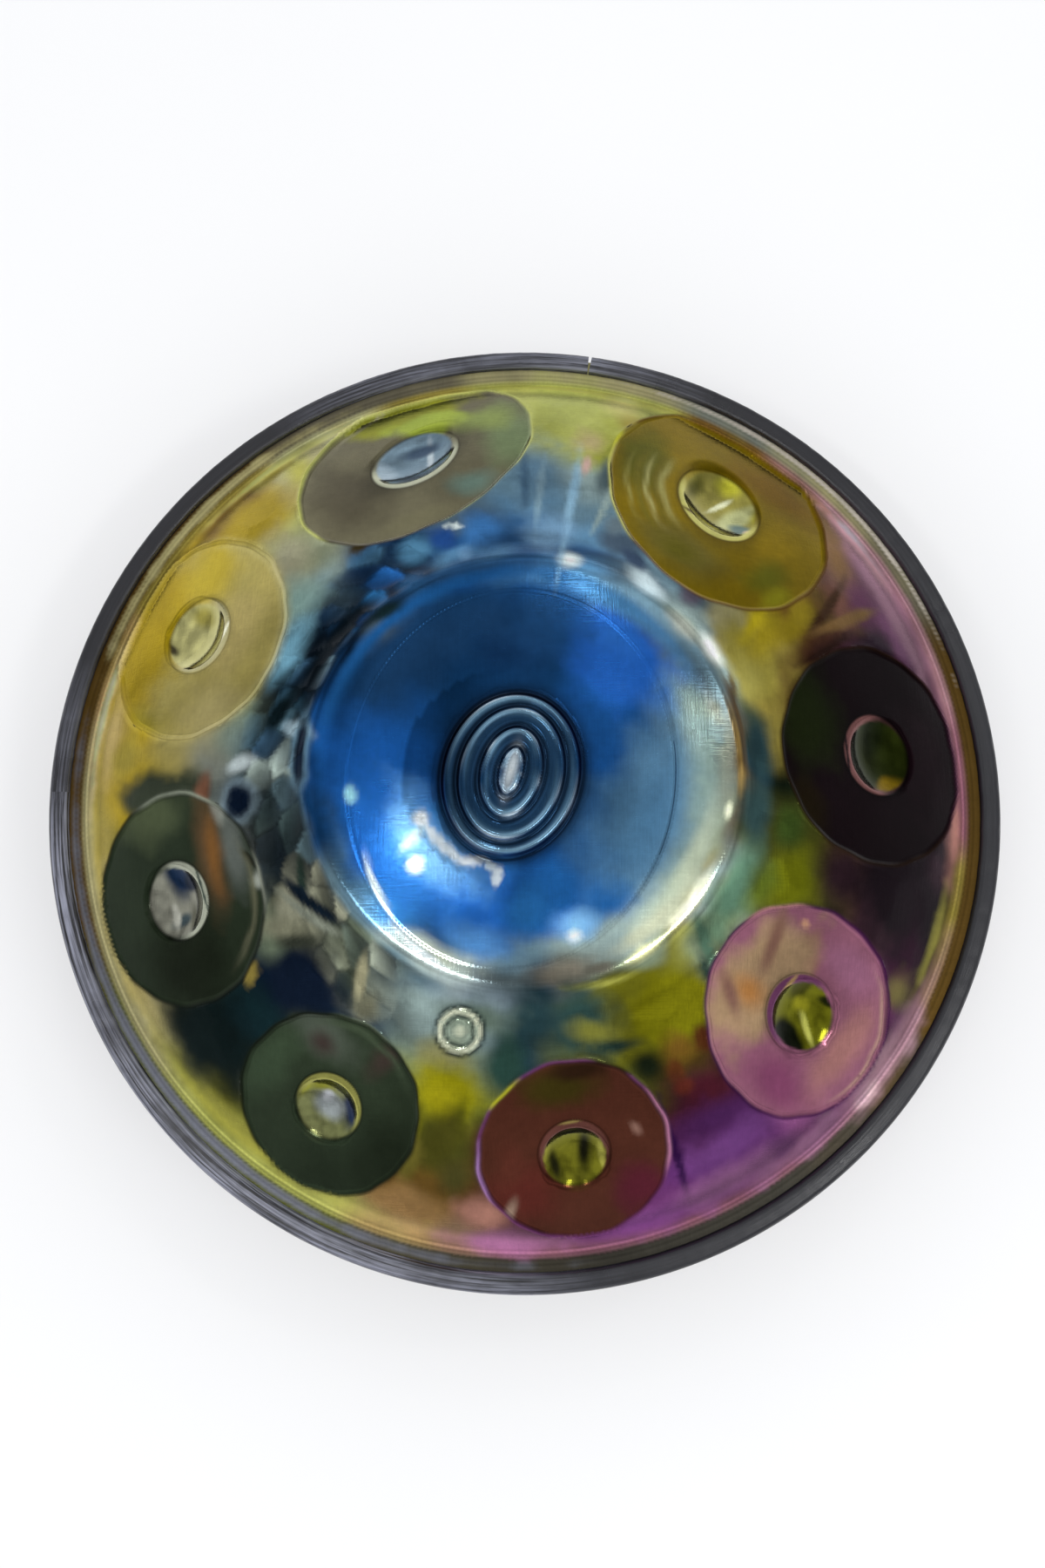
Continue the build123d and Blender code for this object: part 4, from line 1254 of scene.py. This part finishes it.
def settle_normals(piece, angle=40.0):
    """Turns a closed piece's faces outwards, and keeps its hard edges sharp."""
    bpy.context.view_layer.objects.active = piece
    piece.select_set(True)
    bpy.ops.object.mode_set(mode="EDIT")
    bpy.ops.mesh.select_all(action="SELECT")
    bpy.ops.mesh.normals_make_consistent(inside=False)
    bpy.ops.object.mode_set(mode="OBJECT")
    piece.data.set_sharp_from_angle(angle=radians(angle))
    piece.select_set(False)


# ---------------------------------------------------------------- materials

class Nodes:
    """Short ways to add nodes to one material."""

    def __init__(self, name):
        self.material = bpy.data.materials.new(name)
        self.material.use_nodes = True
        self.tree = self.material.node_tree
        self.shader = self.tree.nodes["Principled BSDF"]
        self.place = self.add("ShaderNodeTexCoord").outputs["Object"]

    def add(self, kind, **values):
        node = self.tree.nodes.new(kind)
        for name, value in values.items():
            setattr(node, name, value)
        return node

    def link(self, source, target):
        self.tree.links.new(source, target)

    def attribute(self, name):
        return self.add("ShaderNodeAttribute", attribute_name=name)

    def stretch(self, scale, turn=0.0):
        node = self.add("ShaderNodeMapping")
        node.inputs["Scale"].default_value = scale
        node.inputs["Rotation"].default_value = (0, 0, radians(turn))
        self.link(self.place, node.inputs["Vector"])
        return node.outputs["Vector"]

    def noise(self, scale, detail=3.0, roughness=0.5, place=None):
        node = self.add("ShaderNodeTexNoise")
        node.inputs["Scale"].default_value = scale
        node.inputs["Detail"].default_value = detail
        node.inputs["Roughness"].default_value = roughness
        self.link(place or self.place, node.inputs["Vector"])
        return node.outputs["Fac"]

    def span(self, value, low, high, to_low, to_high):
        node = self.add("ShaderNodeMapRange")
        ends = (("From Min", low), ("From Max", high), ("To Min", to_low), ("To Max", to_high))
        for name, number in ends:
            node.inputs[name].default_value = number
        self.link(value, node.inputs["Value"])
        return node.outputs["Result"]

    def maths(self, operation, first, second=0.0):
        node = self.add("ShaderNodeMath", operation=operation)
        for slot, value in enumerate((first, second)):
            if isinstance(value, (int, float)):
                node.inputs[slot].default_value = value
            else:
                self.link(value, node.inputs[slot])
        return node.outputs[0]

    def mix(self, blend, share, first, second):
        node = self.add("ShaderNodeMix", data_type="RGBA", blend_type=blend)
        for name, value in (("Factor", share), ("A", first), ("B", second)):
            target = [s for s in node.inputs if s.name == name and s.enabled][0]
            if isinstance(value, (int, float, tuple)):
                target.default_value = value
            else:
                self.link(value, target)
        return [s for s in node.outputs if s.enabled][0]

    def rim_shade(self, drift):
        """Painted shade and light: thin lighter and darker lines round the rim, drifting a little in and
        out.
        """
        flat = self.add("ShaderNodeVectorMath", operation="MULTIPLY")
        flat.inputs[1].default_value = (1, 1, 0)
        self.link(self.place, flat.inputs[0])
        length = self.add("ShaderNodeVectorMath", operation="LENGTH")
        self.link(flat.outputs[0], length.inputs[0])
        radius = self.maths("ADD", length.outputs["Value"], self.span(drift, 0.2, 0.8, -0.0005, 0.0005))
        ramp = self.add("ShaderNodeValToRGB")
        low, high = rim_shades[0][0], rim_shades[-1][0]
        while len(ramp.color_ramp.elements) < len(rim_shades):
            ramp.color_ramp.elements.new(0.5)
        for element, (at, shade) in zip(ramp.color_ramp.elements, rim_shades):
            element.position = (at - low) / (high - low)
            element.color = (shade, shade, shade, 1.0)
        self.link(self.span(radius, low * MM, high * MM, 0.0, 1.0), ramp.inputs["Fac"])
        return ramp.outputs["Color"]

    def finish(self, base, roughness, normal, metallic=0.0):
        """Joins the shader's inputs up, and gives the material."""
        self.shader.inputs["Metallic"].default_value = metallic
        for name, source in (("Base Color", base), ("Roughness", roughness), ("Normal", normal)):
            self.link(source, self.shader.inputs[name])
        return self.material

    def bump(self, height, strength, distance, normal=None):
        node = self.add("ShaderNodeBump")
        node.inputs["Strength"].default_value = strength
        node.inputs["Distance"].default_value = distance
        self.link(height, node.inputs["Height"])
        if normal:
            self.link(normal, node.inputs["Normal"])
        return node.outputs["Normal"]


def colour(name):
    """A tint as a colour socket's value."""
    return (*linear(name), 1.0)


def steel_finish():
    """Heat-tinted steel: painted tints with painted reflections, painted rim shade, cloudy sheen, rubbed
    spots, fine scratches and grain.
    """
    n = Nodes("heat_tinted_steel_painted_reflections")
    tint, gloss = n.attribute("tint"), n.attribute("gloss")
    cloud = n.noise(34.0, 4.0, 0.55)
    fine = n.noise(260.0, 3.0, 0.6)
    rubbed = n.noise(1.0, 3.0, 0.6, n.stretch((900, 60, 300), 28))
    crossed = n.noise(1.0, 2.0, 0.6, n.stretch((70, 1100, 300), -12))
    lighter = n.span(cloud, 0.3, 0.7, 0.86, 1.14)
    grained = n.maths("MULTIPLY", lighter, n.span(fine, 0.3, 0.7, 0.95, 1.05))
    scratched = n.maths("MULTIPLY", grained, n.span(rubbed, 0.35, 0.65, 0.97, 1.03))
    base = n.mix("MULTIPLY", 1.0, tint.outputs["Color"], scratched)
    base = n.mix("MULTIPLY", 1.0, base, n.rim_shade(n.noise(7.0, 4.0, 0.6)))
    rough = n.maths("ADD", gloss.outputs["Fac"], n.span(cloud, 0.3, 0.7, -0.03, 0.05))
    rough = n.maths("ADD", rough, n.span(crossed, 0.45, 0.75, 0.0, 0.06))
    normal = n.bump(rubbed, 0.10, 0.0004)
    normal = n.bump(crossed, 0.08, 0.0004, normal)
    normal = n.bump(n.noise(90.0, 2.0), 0.10, 0.0006, normal)
    return n.finish(base, rough, normal, 1.0)


def resonator_finish():
    """Heat-tinted steel of the resonator side: straw and gold, with blue round the port."""
    n = Nodes("heat_tinted_resonator")
    cloud = n.noise(9.0, 5.0, 0.55)
    fine = n.noise(240.0, 3.0, 0.6)
    brushed = n.noise(1.0, 2.0, 0.6, n.stretch((900, 70, 300), 40))
    split = n.add("ShaderNodeSeparateXYZ")
    n.link(n.place, split.inputs[0])
    height = n.maths("ADD", split.outputs["Z"], n.span(cloud, 0.2, 0.8, -0.018, 0.018))
    ramp = n.add("ShaderNodeValToRGB")
    stops = [(0.0, "cobalt"), (0.05, "haze"), (0.16, "silver"), (0.34, "straw"), (0.58, "gold"),
             (0.78, "mauve"), (0.92, "violet"), (1.0, "denim")]
    ramp.color_ramp.elements[0].color = colour(stops[0][1])
    ramp.color_ramp.elements[1].color = colour(stops[-1][1])
    for at, name in stops[1:-1]:
        ramp.color_ramp.elements.new(at).color = colour(name)
    n.link(n.span(height, 0.0, lower_flange * MM, 0.0, 1.0), ramp.inputs["Fac"])
    shade = n.maths("MULTIPLY", n.span(cloud, 0.3, 0.7, 0.85, 1.15), n.span(fine, 0.3, 0.7, 0.94, 1.06))
    base = n.mix("MULTIPLY", 1.0, ramp.outputs["Color"], shade)
    normal = n.bump(n.noise(60.0, 2.0), 0.12, 0.0008, n.bump(brushed, 0.10, 0.0004))
    return n.finish(base, n.span(cloud, 0.3, 0.7, 0.20, 0.32), normal, 1.0)


def rubber_finish():
    """Extruded black rubber: streaks round the rim, painted sheen at the lower left and by the seam,
    grain.
    """
    n = Nodes("extruded_rubber")
    split = n.add("ShaderNodeSeparateXYZ")
    n.link(n.place, split.inputs[0])
    turn = n.maths("ARCTAN2", split.outputs["Y"], split.outputs["X"])
    squares = [n.maths("POWER", split.outputs[axis], 2.0) for axis in "XY"]
    flat = n.maths("SQRT", n.maths("ADD", *squares))
    along = n.add("ShaderNodeCombineXYZ")
    n.link(n.maths("MULTIPLY", turn, 4.0), along.inputs["X"])
    n.link(n.maths("MULTIPLY", flat, 700.0), along.inputs["Y"])
    n.link(n.maths("MULTIPLY", split.outputs["Z"], 700.0), along.inputs["Z"])
    streak = n.noise(1.0, 4.0, 0.62, along.outputs["Vector"])
    cloud = n.noise(16.0, 4.0, 0.6)
    grain = n.noise(900.0, 3.0, 0.6)
    # painted sheen: lighter bluish streaks where light catches the trim at the lower left and by the seam
    low_left = n.span(n.maths("COSINE", n.maths("ADD", turn, 2.4)), 0.5, 0.9, 0.02, 1.0)
    by_seam = n.span(n.maths("COSINE", n.maths("SUBTRACT", turn, 1.65)), 0.86, 0.98, 0.0, 0.6)
    sheen_places = n.maths("MAXIMUM", low_left, by_seam)
    painted_sheen = n.maths("MULTIPLY", n.span(streak, 0.38, 0.62, 0.0, 1.0), n.span(cloud, 0.34, 0.62, 0.25, 1.0))
    painted_sheen = n.maths("MULTIPLY", painted_sheen, sheen_places)
    base = n.mix("MIX", painted_sheen, (0.005, 0.005, 0.008, 1.0), (0.270, 0.280, 0.350, 1.0))
    normal = n.bump(grain, 0.2, 0.0002, n.bump(streak, 0.35, 0.0006))
    return n.finish(base, n.span(cloud, 0.3, 0.7, 0.22, 0.40), normal)


def core_finish():
    """Cold-rolled steel strip inside the trim."""
    n = Nodes("cold_rolled_strip")
    grain = n.noise(1.0, 3.0, 0.6, n.stretch((300, 300, 1500)))
    dark, light = (0.30, 0.31, 0.33, 1.0), (0.46, 0.47, 0.49, 1.0)
    base = n.mix("MIX", n.span(grain, 0.3, 0.7, 0.0, 1.0), dark, light)
    return n.finish(base, n.span(grain, 0.3, 0.7, 0.32, 0.45), n.bump(grain, 0.15, 0.0002), 1.0)


def adhesive_finish():
    """Cured structural adhesive: dark grey, slightly lumpy and waxy."""
    n = Nodes("cured_adhesive")
    lumps = n.noise(220.0, 3.0, 0.6)
    base = n.mix("MIX", lumps, (0.05, 0.05, 0.055, 1.0), (0.11, 0.11, 0.12, 1.0))
    return n.finish(base, n.span(lumps, 0.3, 0.7, 0.40, 0.55), n.bump(lumps, 0.3, 0.0004))


def floor_finish():
    """Pale matte floor."""
    n = Nodes("pale_floor")
    cloud = n.noise(1.4, 3.0, 0.5)
    base = n.mix("MIX", cloud, (0.80, 0.80, 0.80, 1.0), (0.84, 0.84, 0.84, 1.0))
    n.link(base, n.shader.inputs["Base Color"])
    n.link(n.span(cloud, 0.2, 0.8, 0.6, 0.7), n.shader.inputs["Roughness"])
    return n.material


# ---------------------------------------------------------------- the object

def dress(piece, node, material):
    """Puts a piece in a CAD node's place."""
    piece.data.materials.append(material)
    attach(piece, "root")
    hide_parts(node)


dress(playing_shell(), "top_shell", steel_finish())
resonator = resonator_shell()
settle_normals(resonator)
dress(resonator, "bottom_shell", resonator_finish())
dress(edge_trim(), "edge_trim", rubber_finish())
for node, material in (("trim_core", core_finish()), ("flange_bond", adhesive_finish())):
    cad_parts[node].data.materials.clear()
    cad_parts[node].data.materials.append(material)


# ---------------------------------------------------------------- floor, light and camera

def aim(thing, place, target):
    """Stands a light or camera at a place, looking at a target."""
    thing.location = place
    thing.rotation_euler = (Vector(target) - Vector(place)).to_track_quat("-Z", "Y").to_euler()


def softbox(name, azimuth, elevation, distance, size, watts):
    """A rectangular area light that looks at the playing side from a direction."""
    lamp = bpy.data.lights.new(name, "AREA")
    lamp.shape = "RECTANGLE"
    lamp.size, lamp.size_y = size
    lamp.energy = watts
    lamp_object = bpy.data.objects.new(name, lamp)
    bpy.context.scene.collection.objects.link(lamp_object)
    a, e = radians(azimuth), radians(elevation)
    target = Vector((0, 0, mound_top * MM))
    away = Vector((cos(a) * cos(e), sin(a) * cos(e), sin(e))) * distance
    aim(lamp_object, target + away, target)
    lamp_object.visible_camera = False


def studio():
    """Pale floor, pale surroundings and soft lights."""
    bpy.ops.mesh.primitive_grid_add(x_subdivisions=8, y_subdivisions=8, size=12)
    floor = bpy.context.active_object
    floor.name = "floor"
    floor.data.materials.append(floor_finish())
    world = bpy.data.worlds.new("studio")
    bpy.context.scene.world = world
    world.use_nodes = True
    tree = world.node_tree
    background = tree.nodes["Background"]
    background.inputs["Color"].default_value = (0.93, 0.94, 0.96, 1.0)
    around = tree.nodes.new("ShaderNodeTexCoord")
    shade = tree.nodes.new("ShaderNodeTexNoise")
    shade.inputs["Scale"].default_value = 2.6
    shade.inputs["Detail"].default_value = 2.0
    tree.links.new(around.outputs["Generated"], shade.inputs["Vector"])
    soft = tree.nodes.new("ShaderNodeMapRange")
    for name, number in (("From Min", 0.36), ("From Max", 0.64), ("To Min", 0.52), ("To Max", 1.08)):
        soft.inputs[name].default_value = number
    tree.links.new(shade.outputs["Fac"], soft.inputs["Value"])
    path = tree.nodes.new("ShaderNodeLightPath")
    strength = tree.nodes.new("ShaderNodeMix")
    strength.inputs["A"].default_value = 1.16
    tree.links.new(path.outputs["Is Glossy Ray"], strength.inputs["Factor"])
    tree.links.new(soft.outputs["Result"], strength.inputs["B"])
    tree.links.new(strength.outputs["Result"], background.inputs["Strength"])
    softbox("key_low_left", 226, 64, 1.5, (0.60, 0.085), 2.2)
    softbox("key_low_right", -34, 57, 1.5, (0.56, 0.11), 2.6)
    softbox("fill_right", 33, 57, 1.5, (0.13, 0.10), 0.5)
    softbox("fill_top", 78, 57, 1.5, (0.09, 0.09), 0.3)
    softbox("sheen_left", 172, 78, 1.3, (0.05, 0.14), 0.28)


def camera():
    """Camera at the photograph's viewing angle."""
    data = bpy.data.cameras.new("camera")
    data.sensor_width = 36.0
    data.lens = 26.16
    camera_object = bpy.data.objects.new("camera", data)
    bpy.context.scene.collection.objects.link(camera_object)
    camera_object.location = (-0.0013, -0.1018, seam_height * MM + 0.660)
    camera_object.rotation_euler = (radians(9.22), 0.0, 0.0)
    bpy.context.scene.camera = camera_object


studio()
camera()
bpy.context.scene.view_settings.view_transform = "Standard"
